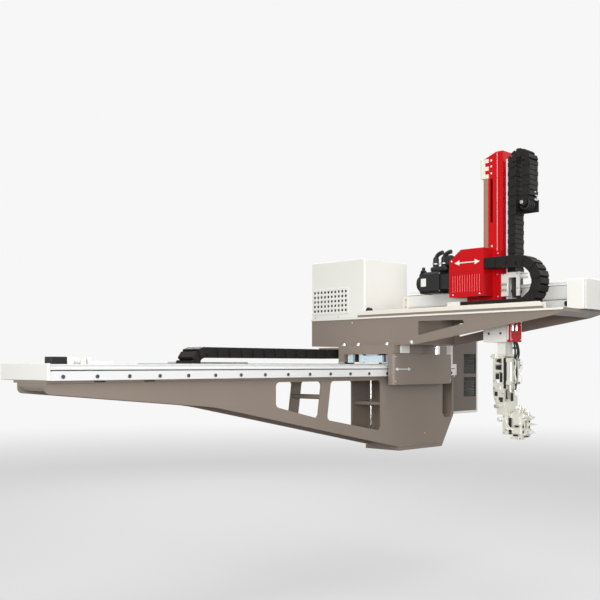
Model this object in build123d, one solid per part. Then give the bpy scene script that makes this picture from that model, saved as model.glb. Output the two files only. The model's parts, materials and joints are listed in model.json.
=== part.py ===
from build123d import *
from math import acos, atan2, cos, pi, radians, sin, tan
import os

# Three-axis take-out robot for an injection moulding machine. Millimetres.
# Origin: centre of the pedestal's underside, which bolts onto the machine.
# X: traverse, the beam runs out to -X. Y: kick, the kick beam reaches out to -Y. Z: up.

# Welded base: two side plates, a belly plate, a top plate and a pedestal foot
plate = 10
web_near = -120
web_far = 96
weldment_top = 412
beam_left = -2345
web_right = 320
end_depth = 50
belly_bend_x = -1517
belly_bend_z = 285
belly_bend_radius = 1100
end_corner_radius = 22
belly_recess = 24
belly_plate_thickness = 8
foot_length = 400
foot_width = 240
foot_thickness = 22
foot_chamfer_height = 182
foot_bolt_spacing_x = 320
foot_bolt_spacing_y = 150
foot_bolt_hole_radius = 11
window_top_rim = 12
window_radius = 22
tie_rod_radius = 12
tie_rod_places = ((-812, 312), (-332, 263))
near_ledge = 5
far_ledge = 30

# Windows cut through both side plates: the ends of the top edge, then the two lower corners
window_a = {"top_left": -1143, "top_right": -823, "low_left": (-1143, 273), "low_right": (-851, 206)}
window_b = {"top_left": -757, "top_right": -357, "low_left": (-786, 196), "low_right": (-357, 118)}
slot_left = 208
slot_right = 305
slot_bottom = 165
slot_corner_radius = 40

# Traverse extrusion, its guide rails and rack
near_face = -140
extrusion_width = 360
extrusion_height = 41
extrusion_inset = 8
extrusion_wall = 7
side_groove_height = 5
side_groove_depth = 5
rail_width = 23
rail_height = 22
end_cap_thickness = 12
end_cap_overhang = 3
traverse_module = 8
traverse_pinion_teeth = 14
rack_back = 15
rack_face_width = 26
rack_place_y = 40
gear_backlash = 0.4
traverse_travel = 1600
rack_margin = 140
stop_inset = 27
stop_gap = 12
stop_length = 95
stop_width = 50
stop_height = 26
stop_nose_length = 35
stop_nose_radius = 12
sensor_thickness = 14
bracket_length = 110
pressure_angle = radians(20)

# Traverse carriage
saddle_left = -338
saddle_right = 203
saddle_near = -192
saddle_far = 204
saddle_low = 532
saddle_top = 580
saddle_leg_width = 40
saddle_lip_right = -80
saddle_lip_height = 48
apron_depth = 39
lip_shadow_gap = 4
apron_low = 366
apron_wall = 3
apron_radius = 18
block_clearance = 0.3
block_length = 84
block_width = 46
block_foot_gap = 6
block_height = 36
pinion_shaft_radius = 10
shaft_fit = 0.05
motor_opening = 96

# Kick frame: two webs joined at the back and at the nose, open for the arm between them
frame_left = -313
frame_width = 385
frame_low = 580
frame_top = 727
frame_back = 436
frame_nose = -1158
frame_slope_start = -310
frame_slope_end = -1093
frame_slope_height = 122
nose_lip = 7
flange_thickness = 10
flange_width = 26
arm_slot_front = -1085
arm_slot_back = -300
rib_slot = ((-331, 703), (-607, 699), (-621, 682), (-331, 628))
rib_slot_radius = 7

# Kick extrusion on the far web, its rails and rack
kick_extrusion_left = -57
kick_extrusion_width = 120
kick_extrusion_height = 127
kick_extrusion_back = -71
kick_extrusion_front = -1092
kick_groove_from_top = 66
kick_rail_width = 20
kick_rail_height = 17
kick_rail_near_centre = -30
kick_rail_far_centre = 43
kick_block_width = 44
kick_block_height = 30
kick_block_length = 72
kick_module = 5
kick_pinion_teeth = 13
kick_rack_left = -2
kick_rack_width = 18
kick_rack_back = 12
kick_travel_out = 160
kick_travel_back = 310
kick_rack_margin = 70
kick_cap_width = 229
kick_cap_length = 92
kick_cap_height = 144
kick_cap_wall = 4
kick_cap_radius = 16
kick_cap_edge = 3

# Control box on the back of the kick frame
box_front = 33
box_height = 327
box_wall = 3
box_radius = 8
box_edge = 4
vent_rows = 5
vent_columns = 9
vent_low = 784
vent_row_pitch = 23
vent_start = 172
vent_pitch = 29
vent_length = 21
vent_height = 7

# Cabinet at the right-hand end of the base
cabinet_width = 282
cabinet_near = -100
cabinet_depth = 290
cabinet_low = 182
cabinet_height = 450
cabinet_wall = 3
cabinet_radius = 14
door_border = 9
door_thickness = 8
grille_width = 132
grille_height = 118
grille_gap = 22
grille_right_margin = 8
grille_top_margin = 93
grille_slots = 11
grille_slot_height = 5

# Kick carriage
carriage_near = -705
carriage_far = -505
carriage_plate_thickness = 22
back_plate_thickness = 12
back_plate_low = 790
back_plate_top = 1040
cover_left = -287
cover_right = -199
cover_front = -712
cover_back = -510
cover_low = 816
cover_top = 1056
cover_wall = 3
cover_chamfer_run = 70
cover_chamfer_rise = 54
cover_corner_radius = 12
cover_rib_count = 13
cover_rib_low = 838
cover_rib_high = 928
cover_rib_width = 7
cover_rib_depth = 2.5
housing_wall = 8
housing_front = -760
housing_back = -560
housing_low = 800
housing_top = 1044
motor_x = -236
motor_z = 903
gearbox_side = 76
gearbox_length = 70
motor_side = 100
motor_length = 120
motor_cap_radius = 40
motor_cap_length = 27
motor_corner = 12
collar_height = 24
shelf_height = 16

# Arm: a red outer profile and a light inner profile that run out together
arm_left = -187
arm_width = 85
arm_back = -652
arm_depth = 110
arm_low = 690
arm_top = 1545
arm_wall = 6
arm_slant_run = 74
arm_slant_rise = 30
arm_slot_width = 13
arm_slot_from_back = 38
arm_slot_low = 1192
arm_slot_high = 1412
arm_rail_width = 20
arm_rail_height = 13
arm_block_length = 62
arm_block_width = 42
belt_thickness = 2.6
belt_width = 27
belt_low = 712
belt_gap = 0.6
belt_clamp_height = 98
belt_clamp_depth = 15
belt_clamp_reach = 30
belt_clamp_finger = 20
arm_pulley_radius = 42
arm_pulley_z = 925
arm_shaft_radius = 9
pulley_clearance = 0.3
inner_width = 70
inner_thickness = 14
inner_low = 600
inner_top = 1500
inner_rail_width = 15
inner_rail_height = 10
inner_block_width = 34
inner_block_length = 50
inner_gap = 4

# Cable chains: straight runs and a round loop between them
traverse_chain_near = 226
traverse_chain_width = 130
traverse_chain_height = 52
traverse_chain_radius = 60
traverse_chain_low = 388
traverse_chain_end = -290
traverse_loop_x = -1283
traverse_chain_anchor = -1000
traverse_tray_left = -2190
traverse_tray_right = -888
traverse_tray_wall_left = -1415
traverse_tray_wall_top = 487
chain_lug_length = 48
chain_lug_thickness = 10
tray_thickness = 2
kick_chain_left = -288
kick_chain_width = 86
kick_chain_height = 52
kick_chain_radius = 105.5
kick_chain_low = 740
kick_loop_y = -895
kick_chain_anchor = -560
kick_tray_rim = 30
kick_tray_reach = 160
kick_tray_back = 60
lift_chain_left = -196
lift_chain_width = 84
lift_chain_height = 38
lift_chain_radius = 42
lift_chain_near = -794
lift_loop_drop = 23
lift_anchor_z = 931
lift_end_z = 1228
shelf_thickness = 6
bracket_reach = 102
bracket_low = 814

# Wrist and gripper
foot_plate_left = -200
foot_plate_thickness = 8
foot_plate_back = -657
foot_plate_low = 587
foot_plate_top = 672
wrist_low = 262
wrist_top = 527
wrist_back = -703
wrist_front = -770
wrist_left = -184
wrist_right = -92
wrist_plate = 6
flip_y = -737
flip_z = 290
flip_pin_radius = 8
head_offset = 45
gripper_low = 112
chuck_top = 228
jaw_tip = -914
upper_jaw_z = 212
lower_jaw_z = 142


def block(x0, x1, y0, y1, z0, z1):
    """A cuboid given by its low and high corners."""
    size = (abs(x1 - x0), abs(y1 - y0), abs(z1 - z0))
    return Pos((x0 + x1) / 2, (y0 + y1) / 2, (z0 + z1) / 2) * Box(*size)


def face_of(points, radii=0):
    """A flat face from corner points, each corner rounded by its own radius."""
    count = len(points)
    if not isinstance(radii, list):
        radii = [radii] * count
    corners = []
    for k in range(count):
        here = Vector(*points[k])
        back = (Vector(*points[k - 1]) - here).normalized()
        ahead = (Vector(*points[(k + 1) % count]) - here).normalized()
        half = radians(back.get_angle(ahead)) / 2
        towards = (back + ahead).normalized()
        cut = radii[k] / tan(half)
        middle = here + towards * (radii[k] / sin(half) - radii[k])
        corners.append((here + back * cut, middle, here + ahead * cut))
    edges = []
    for k in range(count):
        start, middle, end = corners[k]
        if radii[k] > 0:
            edges.append(ThreePointArc(start, middle, end))
        next_start = corners[(k + 1) % count][0]
        if (next_start - end).length > 0.001:
            edges.append(Line(end, next_start))
    return make_face(edges)


def across_y(face, y0, y1):
    """Extrudes a face drawn in X and Z from y0 to y1."""
    return extrude(Plane.XZ.offset(-y0) * face, amount=y0 - y1)


def across_x(face, x0, x1):
    """Extrudes a face drawn in Y and Z from x0 to x1."""
    return extrude(Plane.YZ.offset(x0) * face, amount=x1 - x0)


def across_z(face, z0, z1):
    """Extrudes a face drawn in X and Y from z0 to z1."""
    return extrude(Plane.XY.offset(z0) * face, amount=z1 - z0)


def rod_x(x0, x1, y, z, radius):
    return Pos((x0 + x1) / 2, y, z) * Rot(0, 90, 0) * Cylinder(radius, abs(x1 - x0))


def rod_y(y0, y1, x, z, radius):
    return Pos(x, (y0 + y1) / 2, z) * Rot(90, 0, 0) * Cylinder(radius, abs(y1 - y0))


def rod_z(z0, z1, x, y, radius):
    return Pos(x, y, (z0 + z1) / 2) * Cylinder(radius, abs(z1 - z0))


def solids(*pieces):
    """Several separate solids kept together as one node."""
    found = []
    for piece in pieces:
        found.extend(piece.solids())
    return Compound(children=found)


def rack_profile(start, end, phase, module, back):
    """A toothed strip along the first axis; the second axis points out of the teeth.
    The pitch line lies at back + 1.25 modules, and a gap between teeth is centred at phase."""
    pitch = pi * module
    pitch_line = back + 1.25 * module
    half_tip = pitch / 4 - module * tan(pressure_angle)
    half_root = pitch / 4 + 1.25 * module * tan(pressure_angle)
    first = int((start - phase) / pitch) + 1
    last = int((end - phase) / pitch) - 1
    points = [(start, 0), (start, back)]
    for k in range(first, last):
        centre = phase + (k + 0.5) * pitch
        points += [(centre - half_root, back), (centre - half_tip, pitch_line + module)]
        points += [(centre + half_tip, pitch_line + module), (centre + half_root, back)]
    points += [(end, back), (end, 0)]
    return make_face(Polyline(*points, close=True))


def pinion_profile(teeth, module):
    """An involute gear seen along its axis, with one tooth pointing along -Y of the sketch."""
    pitch_radius = teeth * module / 2
    base_radius = pitch_radius * cos(pressure_angle)
    root_radius = pitch_radius - 1.2 * module
    tip_radius = pitch_radius + 0.9 * module
    half_tooth = pi / 2 / teeth - gear_backlash / 2 / pitch_radius
    involute_at_pitch = tan(pressure_angle) - pressure_angle
    flank = []
    for share in (0, 1):
        radius = base_radius + share * (tip_radius - base_radius)
        angle = acos(min(1, base_radius / radius))
        flank.append((radius, half_tooth + involute_at_pitch - (tan(angle) - angle)))
    points = []
    for k in range(teeth):
        middle = -pi / 2 + 2 * pi * k / teeth
        side = [(root_radius, flank[0][1])] + flank
        for radius, turn in side:
            points.append((radius * cos(middle - turn), radius * sin(middle - turn)))
        for radius, turn in reversed(side):
            points.append((radius * cos(middle + turn), radius * sin(middle + turn)))
    return make_face(Polyline(*points, close=True))


# Places worked out from the sizes above
side_top = weldment_top - plate
extrusion_left = beam_left + extrusion_inset
extrusion_right = web_right - end_cap_thickness
foot_left = -foot_length / 2
foot_right = foot_length / 2
extrusion_low = weldment_top
extrusion_top = extrusion_low + extrusion_height
beam_top = extrusion_top + rail_height
extrusion_far = near_face + extrusion_width
near_rail_centre = near_face + rail_width / 2
far_rail_centre = extrusion_far - rail_width / 2
traverse_pinion_radius = traverse_pinion_teeth * traverse_module / 2
traverse_pinion_x = (saddle_left + saddle_right) / 2
rack_pitch_y = rack_place_y + rack_back + 1.25 * traverse_module
saddle_leg_low = extrusion_top + block_height
traverse_pinion_y = rack_pitch_y + traverse_pinion_radius
frame_right = frame_left + frame_width
kick_extrusion_low = frame_top + flange_thickness
kick_extrusion_top = kick_extrusion_low + kick_extrusion_height
kick_extrusion_right = kick_extrusion_left + kick_extrusion_width
carriage_low = kick_extrusion_top + kick_block_height
kick_pinion_radius = kick_pinion_teeth * kick_module / 2
kick_pinion_y = (carriage_near + carriage_far) / 2
kick_pinion_z = kick_extrusion_top + kick_rack_back + 1.25 * kick_module + kick_pinion_radius
arm_right = arm_left + arm_width
arm_front = arm_back - arm_depth
arm_x = (arm_left + arm_right) / 2
arm_y = (arm_back + arm_front) / 2
back_plate_right = kick_extrusion_left - 5
back_plate_left = back_plate_right - back_plate_thickness
housing_left = cover_right
belt_right = arm_left - belt_gap
belt_left = belt_right - belt_thickness
arm_pulley_x = belt_left - pulley_clearance - arm_pulley_radius
arm_pulley_y = arm_back - belt_width / 2
lift_loop_z = inner_top - lift_loop_drop
clamp_top = arm_top - arm_slant_rise
inner_back = arm_front - inner_gap - inner_rail_height
inner_front = inner_back - inner_thickness
inner_left = arm_x - inner_width / 2
inner_right = arm_x + inner_width / 2


def side_plate_outline():
    return face_of(
        [
            (beam_left, side_top),
            (beam_left, weldment_top - end_depth),
            (belly_bend_x, belly_bend_z),
            (foot_left, foot_thickness),
            (chamfer_x(foot_thickness), foot_thickness),
            (web_right, foot_chamfer_height),
            (web_right, side_top),
        ],
        [0, end_corner_radius, belly_bend_radius, 0, 0, 0, 0],
    )


def chamfer_x(z):
    """X of the pedestal's sloping right-hand edge at height z."""
    return foot_right + (web_right - foot_right) * z / foot_chamfer_height


def window_outline(window):
    top = side_top - window_top_rim
    points = [(window["top_left"], top), (window["top_right"], top), window["low_right"], window["low_left"]]
    return face_of(points, window_radius)


def slot_outline():
    top = side_top - window_top_rim
    points = [(slot_left, top), (slot_right, top), (slot_right, slot_bottom), (slot_left, slot_bottom)]
    return face_of(points, [window_radius / 2, window_radius / 2, slot_corner_radius, slot_corner_radius])


def side_plate(y0, y1):
    outline = side_plate_outline()
    for hole in (window_outline(window_a), window_outline(window_b), slot_outline()):
        outline = outline - hole
    return across_y(outline, y0, y1)


def belly():
    """The plate that closes the beam from below. It lies inside the side plates and turns up at its left end."""
    lift = belly_plate_thickness
    left = beam_left + 2
    low_end = weldment_top - end_depth + belly_recess / 2
    bend_z = belly_bend_z + belly_recess
    foot_z = foot_thickness + belly_recess
    low = [(left, low_end), (belly_bend_x, bend_z), (foot_left, foot_z)]
    high = [(foot_left, foot_z + lift), (belly_bend_x, bend_z + lift)]
    high += [(left + lift, low_end + lift), (left + lift, side_top), (left, side_top)]
    outer = min(end_corner_radius, side_top - low_end - 1)
    radii = [outer, belly_bend_radius, 0, 0, belly_bend_radius, outer - lift, 0, 0]
    return across_y(face_of(low + high, radii), web_near + plate, web_far - plate)


def top_plate():
    return block(beam_left, web_right, web_near - near_ledge, web_far + far_ledge, side_top, weldment_top)


def stiffeners():
    """Pedestal walls between the side plates, an end wall bent along the sloping edge, and the tie rods."""
    inner = (web_near + plate, web_far - plate)
    left_wall = block(foot_left, foot_left + plate, *inner, foot_thickness, side_top)
    right_wall = block(foot_right - plate, foot_right, *inner, foot_thickness, side_top)
    low_x = chamfer_x(foot_thickness)
    bend = [
        (web_right, side_top),
        (web_right, foot_chamfer_height),
        (low_x, foot_thickness),
        (low_x - 1.2 * plate, foot_thickness),
        (web_right - plate, foot_chamfer_height + 2),
        (web_right - plate, side_top),
    ]
    end_wall = across_y(make_face(Polyline(*bend, close=True)), *inner)
    rods = [rod_y(*inner, x, z, tie_rod_radius) for x, z in tie_rod_places]
    return solids(left_wall, right_wall + end_wall, *rods)


def foot():
    points = [(foot_left, 0), (foot_right, 0), (chamfer_x(foot_thickness), foot_thickness)]
    points.append((foot_left, foot_thickness))
    base = across_y(make_face(Polyline(*points, close=True)), -foot_width / 2, foot_width / 2)
    for x in (-foot_bolt_spacing_x / 2, foot_bolt_spacing_x / 2):
        for y in (-foot_bolt_spacing_y / 2, foot_bolt_spacing_y / 2):
            base -= rod_z(-1, foot_thickness + 1, x, y, foot_bolt_hole_radius)
    return base


def traverse_extrusion():
    """A wide hollow profile with three cells and a shallow groove at the top of its near side."""
    height = extrusion_height
    body = Rectangle(extrusion_width, height)
    cell_width = (extrusion_width - 4 * extrusion_wall) / 3
    for k in (-1, 0, 1):
        cell = Rectangle(cell_width, height - 2 * extrusion_wall)
        body -= Pos(k * (cell_width + extrusion_wall), 0) * cell
    groove = Rectangle(2 * side_groove_depth, side_groove_height)
    body -= Pos(-extrusion_width / 2, (height - side_groove_height) / 2) * groove
    middle = Pos(near_face + extrusion_width / 2, extrusion_low + height / 2)
    return across_x(middle * body, extrusion_left, extrusion_right)


def traverse_rails():
    rails = []
    for centre in (near_rail_centre, far_rail_centre):
        waist = rail_width / 2 - 3
        half = rail_width / 2
        outline = [(-half, 0), (half, 0), (half, 7), (waist, 10), (waist, 14), (half, 17)]
        outline += [(half, rail_height), (-half, rail_height), (-half, 17), (-waist, 14), (-waist, 10), (-half, 7)]
        face = Pos(centre, extrusion_top) * make_face(Polyline(*outline, close=True))
        rails.append(across_x(face, extrusion_left, extrusion_right))
    return solids(*rails)


def traverse_rack():
    start = traverse_pinion_x - traverse_travel - rack_margin
    end = traverse_pinion_x + rack_margin
    teeth = rack_profile(start, end, traverse_pinion_x, traverse_module, rack_back)
    return across_z(Pos(0, rack_place_y) * teeth, extrusion_top, extrusion_top + rack_face_width)


def beam_end_cap(x0, x1):
    low = extrusion_low + 1
    high = beam_top + end_cap_overhang
    near = near_face - end_cap_overhang
    far = extrusion_far + end_cap_overhang
    cap = block(x0, x1, near, far, low, high)
    outside = cap.faces().sort_by(Axis.X)[0 if x0 < 0 else -1]
    return chamfer(outside.edges(), 2)


def beam_end_caps():
    left = beam_end_cap(extrusion_left - end_cap_thickness, extrusion_left)
    right = beam_end_cap(extrusion_right, extrusion_right + end_cap_thickness)
    return solids(left, right)


def travel_stops():
    """Buffer block with its rubber nose, a sensor and the sensor's bracket, beside the near rail."""
    near = near_face + rail_width + stop_gap
    far = near + stop_width
    left = extrusion_left + stop_inset
    nose_left = left + stop_length
    sensor_left = nose_left + stop_nose_length + 6
    bracket_left = sensor_left + sensor_thickness + 10
    top = beam_top + stop_height
    buffer = block(left, nose_left, near, far, extrusion_top, top)
    middle, height = (near + far) / 2, beam_top + stop_height / 2
    nose = rod_x(nose_left, nose_left + stop_nose_length, middle, height, stop_nose_radius)
    sensor = block(sensor_left, sensor_left + sensor_thickness, near, far - 10, extrusion_top, top - 2)
    bracket_right = bracket_left + bracket_length
    bracket = block(bracket_left, bracket_right, near, far - 10, extrusion_top, beam_top + 12)
    bracket += block(bracket_left, bracket_left + 12, near, far - 10, beam_top + 12, top + 1)
    return solids(buffer, nose, sensor, bracket)


def chain_tray():
    """Folded sheet tray beside the extrusion for the lower run of the traverse chain, with one raised wall."""
    near = extrusion_far
    far = traverse_chain_near + traverse_chain_width + 5
    top = traverse_chain_low - 0.3
    low = top - tray_thickness
    outline = [
        (near, low),
        (far, low),
        (far, top + 24),
        (far - tray_thickness, top + 24),
        (far - tray_thickness, top),
        (near + tray_thickness, top),
        (near + tray_thickness, extrusion_top - 5),
        (near, extrusion_top - 5),
    ]
    tray = across_x(make_face(Polyline(*outline, close=True)), traverse_tray_left, traverse_tray_right)
    wall = block(
        traverse_tray_wall_left, traverse_tray_right, far - tray_thickness, far, top, traverse_tray_wall_top
    )
    return tray + wall


def run_x(x0, x1, low):
    far = traverse_chain_near + traverse_chain_width
    return block(x0, x1, traverse_chain_near, far, low, low + traverse_chain_height)


def half_loop(radius, height):
    """Half ring, open towards +X of the sketch, centred on the sketch's origin."""
    ring = Circle(radius + height / 2) - Circle(radius - height / 2)
    reach = 2 * (radius + height)
    return ring - Pos(reach / 2, 0) * Rectangle(reach, reach)


def traverse_chain_loop():
    centre_z = traverse_chain_low + traverse_chain_height / 2 + traverse_chain_radius
    face = Pos(traverse_loop_x, centre_z) * half_loop(traverse_chain_radius, traverse_chain_height)
    far = traverse_chain_near + traverse_chain_width
    return across_y(face, traverse_chain_near, far)


def control_cabinet():
    """White housing at the end of the base, open in front where the door panel sits."""
    left = web_right + 0.5
    x = (left + left + cabinet_width) / 2
    z = cabinet_low + cabinet_height / 2
    outer = Pos(x, z) * RectangleRounded(cabinet_width, cabinet_height, cabinet_radius)
    room = (cabinet_width - 2 * cabinet_wall, cabinet_height - 2 * cabinet_wall)
    inner = Pos(x, z) * RectangleRounded(*room, cabinet_radius - cabinet_wall)
    shell = across_y(outer, cabinet_near, cabinet_near + cabinet_depth)
    return shell - across_y(inner, cabinet_near - 1, cabinet_near + cabinet_depth - cabinet_wall)


def grille_places():
    """Centres of the two grilles in the door, in X and Z."""
    right = web_right + cabinet_width - door_border - grille_right_margin
    x = right - grille_width / 2
    high = cabinet_low + cabinet_height - grille_top_margin - grille_height / 2
    return [(x, high), (x, high - grille_height - grille_gap)]


def cabinet_door():
    left = web_right + 0.5 + door_border
    right = web_right + 0.5 + cabinet_width - door_border
    low = cabinet_low + door_border
    high = cabinet_low + cabinet_height - door_border
    centre = Pos((left + right) / 2, (low + high) / 2)
    face = centre * RectangleRounded(right - left, high - low, cabinet_radius - 5)
    rim_width = cabinet_width - 2 * cabinet_wall - 1
    rim_height = cabinet_height - 2 * cabinet_wall - 1
    rim = centre * Rectangle(rim_width - 2 * cabinet_wall, rim_height - 2 * cabinet_wall)
    for x, z in grille_places():
        face = face - Pos(x, z) * Rectangle(grille_width, grille_height)
        rim = rim - Pos(x, z) * Rectangle(grille_width + 10, grille_height + 10)
    panel = across_y(face, cabinet_near - 3, cabinet_near + door_thickness)
    return panel + across_y(rim, cabinet_near + 1, cabinet_near + door_thickness)


def cabinet_grilles():
    """Louvred inserts behind the door's two openings."""
    made = []
    for x, z in grille_places():
        insert = Pos(x, z) * Rectangle(grille_width - 0.6, grille_height - 0.6)
        step = (grille_height - 10) / grille_slots
        for k in range(grille_slots):
            level = z - grille_height / 2 + 5 + (k + 0.5) * step
            insert = insert - Pos(x, level) * Rectangle(grille_width - 12, grille_slot_height)
        made.append(across_y(insert, cabinet_near + 1, cabinet_near + 4))
    return solids(*made)


def saddle():
    """Cast bridge over the beam: deck, far leg, front lip and the lug that pulls the traverse chain."""
    front = saddle_near + apron_depth
    deck = block(saddle_left, saddle_right, front, saddle_far, saddle_low, saddle_top)
    leg = block(saddle_left, saddle_right, saddle_far - saddle_leg_width, saddle_far, saddle_leg_low, saddle_low)
    lip = block(saddle_left, saddle_lip_right, saddle_near, front, saddle_top - saddle_lip_height, saddle_top)
    chain_top = traverse_chain_low + 2 * traverse_chain_radius + traverse_chain_height
    far = traverse_chain_near + traverse_chain_width
    lug_low = chain_top + 0.3
    lug_left = traverse_chain_end - chain_lug_length
    lug = block(lug_left, traverse_chain_end, saddle_far - 1, far, lug_low, lug_low + chain_lug_thickness)
    bore = rod_z(saddle_low - 1, saddle_top + 1, traverse_pinion_x, traverse_pinion_y, pinion_shaft_radius + 3)
    gap = lip_shadow_gap
    shadow = block(saddle_left - 1, saddle_lip_right + 1, saddle_near - 1, saddle_near + gap, saddle_low, saddle_low + gap)
    return (deck + leg + lip - shadow) + lug - bore


def apron():
    """Folded cover hung in front of the beam, open at its back."""
    near = saddle_near
    back = near + apron_depth
    outer = block(saddle_left, saddle_right, near, back, apron_low, saddle_low)
    vertical = outer.edges().filter_by(Axis.Z).group_by(Axis.Y)[0]
    outer = fillet(vertical, apron_radius)
    wall = apron_wall
    inner = block(saddle_left + wall, saddle_right - wall, near + wall, back, apron_low + wall, saddle_low - wall)
    front = inner.edges().filter_by(Axis.Z).group_by(Axis.Y)[0]
    return outer - fillet(front, apron_radius - wall)


def rail_block(length, width, height, foot_gap, opening, opening_height):
    """Linear guide block along X over a rail that stands on Z = 0, centred on the origin in X and Y."""
    outline = Pos(0, (foot_gap + height) / 2) * Rectangle(width, height - foot_gap)
    channel = Pos(0, opening_height / 2) * Rectangle(opening, opening_height)
    return extrude(Plane.YZ.offset(-length / 2) * (outline - channel), amount=length)


def traverse_guide_blocks():
    """Four linear guide blocks with the risers that carry the saddle."""
    riser_low = extrusion_top + block_height
    opening = (rail_width + 2 * block_clearance, rail_height + block_clearance)
    guide = rail_block(block_length, block_width, block_height, block_foot_gap, *opening)
    half = block_length / 2 - 6
    made = []
    for x in (saddle_left + 70, saddle_right - 70):
        made.append(Pos(x, near_rail_centre, extrusion_top) * guide)
        made.append(Pos(x, far_rail_centre, extrusion_top) * guide)
        made.append(block(x - half, x + half, near_rail_centre - 20, near_rail_centre + 20, riser_low, saddle_low))
    return solids(*made)


def traverse_motor():
    """Gearbox and servo motor standing on the saddle, with a bore for the pinion shaft."""
    low = saddle_top
    x, y = traverse_pinion_x, traverse_pinion_y
    gearbox = block(x - 42, x + 42, y - 42, y + 42, low, low + 56)
    body = block(x - 38, x + 38, y - 38, y + 38, low + 56, low + 122)
    return gearbox + body - rod_z(low - 1, low + 40, x, y, pinion_shaft_radius + shaft_fit)


def traverse_pinion():
    x, y = traverse_pinion_x, traverse_pinion_y
    face = Pos(x, y) * pinion_profile(traverse_pinion_teeth, traverse_module)
    gear = across_z(face, extrusion_top + 1, extrusion_top + rack_face_width)
    return gear + rod_z(extrusion_top + 2, saddle_top + 36, x, y, pinion_shaft_radius)


def kick_web(x0, x1, with_rib_slot=True):
    points = [
        (frame_back, frame_top),
        (frame_back, frame_low),
        (frame_slope_start, frame_low),
        (frame_slope_end, frame_low + frame_slope_height),
        (frame_nose, frame_top - nose_lip),
        (frame_nose, frame_top),
    ]
    face = face_of(points, [0, 0, 60, 30, 0, 0])
    if with_rib_slot:
        face = face - face_of(rib_slot, rib_slot_radius)
    return across_x(face, x0, x1)


def kick_frame_plates():
    """Everything welded between the two webs: back, floor, ribs, nose plate and top flanges."""
    left, right = frame_left + plate, frame_right - plate
    back = block(left, right, frame_back - plate, frame_back, frame_low, frame_top)
    floor = block(left, right, frame_slope_start, frame_back - plate, frame_low, frame_low + plate)
    opening = motor_opening
    floor -= Pos(traverse_pinion_x, traverse_pinion_y, frame_low) * Box(opening, opening, 4 * plate)
    rib = block(left, right, arm_slot_back, arm_slot_back + plate, frame_low + plate, frame_top)
    run = frame_slope_start - frame_slope_end
    slope = frame_slope_height / run
    nose_low = frame_low + slope * (frame_slope_start - arm_slot_front) + 6
    nose_points = [
        (arm_slot_front, frame_top),
        (arm_slot_front, nose_low),
        (frame_slope_end, frame_low + frame_slope_height + 2),
        (frame_nose, frame_top - nose_lip),
        (frame_nose, frame_top),
    ]
    nose = across_x(make_face(Polyline(*nose_points, close=True)), left, right)
    level = (frame_top, frame_top + flange_thickness)
    outer_left, outer_right = frame_left - 4, frame_right + 4
    top = block(outer_left, frame_left + flange_width, frame_nose, frame_back, *level)
    top += block(kick_extrusion_left, outer_right, frame_nose, box_front - 2, *level)
    top += block(outer_left, outer_right, arm_slot_back, frame_back, *level)
    top += block(outer_left, outer_right, frame_nose, arm_slot_front, *level)
    return solids(back + floor + rib, nose + top)


def kick_chain_tray():
    """Cream tray on the near web for the lower run of the kick chain."""
    left = kick_chain_left - 4
    right = kick_chain_left + kick_chain_width + 4
    low = frame_top + flange_thickness
    top = low + kick_tray_rim
    outline = [
        (left, low),
        (right, low),
        (right, low + tray_thickness),
        (left + tray_thickness, low + tray_thickness),
        (left + tray_thickness, top),
        (left, top),
    ]
    face = make_face(Polyline(*outline, close=True))
    return across_y(face, kick_loop_y - kick_tray_reach, kick_chain_anchor + kick_tray_back)


def kick_extrusion():
    width, height = kick_extrusion_width, kick_extrusion_height
    body = Rectangle(width, height)
    cell = Rectangle(width - 2 * extrusion_wall, (height - 3 * extrusion_wall) / 2)
    offset = (height - extrusion_wall) / 4
    body = body - Pos(0, offset) * cell - Pos(0, -offset) * cell
    level = height / 2 - kick_groove_from_top
    body -= Pos(-width / 2, level) * Rectangle(2 * side_groove_depth, side_groove_height)
    centre = Pos(kick_extrusion_left + width / 2, kick_extrusion_low + height / 2)
    return across_y(centre * body, kick_extrusion_front, kick_extrusion_back)


def kick_rails():
    made = []
    for centre in (kick_rail_near_centre, kick_rail_far_centre):
        half = kick_rail_width / 2
        waist = half - 3
        outline = [(-half, 0), (half, 0), (half, 5), (waist, 8), (waist, 10), (half, 13)]
        outline += [(half, kick_rail_height), (-half, kick_rail_height), (-half, 13)]
        outline += [(-waist, 10), (-waist, 8), (-half, 5)]
        face = Pos(centre, kick_extrusion_top) * make_face(Polyline(*outline, close=True))
        made.append(across_y(face, kick_extrusion_front + 2, kick_extrusion_back - 2))
    return solids(*made)


def kick_rack():
    start = kick_pinion_y - kick_travel_out - kick_rack_margin
    end = kick_pinion_y + kick_travel_back + kick_rack_margin
    teeth = rack_profile(start, end, kick_pinion_y, kick_module, kick_rack_back)
    return across_x(Pos(0, kick_extrusion_top) * teeth, kick_rack_left, kick_rack_left + kick_rack_width)


def kick_end_cap():
    """White cap over the front end of the kick extrusion, rounded at its two front corners."""
    back = kick_extrusion_front
    front = back - kick_cap_length
    low = frame_top + flange_thickness + 0.3
    high = low + kick_cap_height
    left, right = frame_right - kick_cap_width, frame_right
    corners = [(left, back), (right, back), (right, front), (left, front)]
    outer = across_z(face_of(corners, [0, 0, kick_cap_radius, kick_cap_radius]), low, high)
    outer = chamfer(outer.faces().sort_by(Axis.Z)[-1].edges(), kick_cap_edge)
    wall = kick_cap_wall
    inner = block(left + wall, right - wall, front + wall, back + 1, low - 1, high - wall)
    mouth = block(kick_extrusion_left - 1, kick_extrusion_right + 1, back - 20, back + 1, low - 1, high - wall)
    return outer - inner - mouth


def vent_places():
    """Centres of the slots in the control box, in Y and Z."""
    for row in range(vent_rows):
        for column in range(vent_columns):
            yield vent_start + column * vent_pitch, vent_low + row * vent_row_pitch


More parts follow.
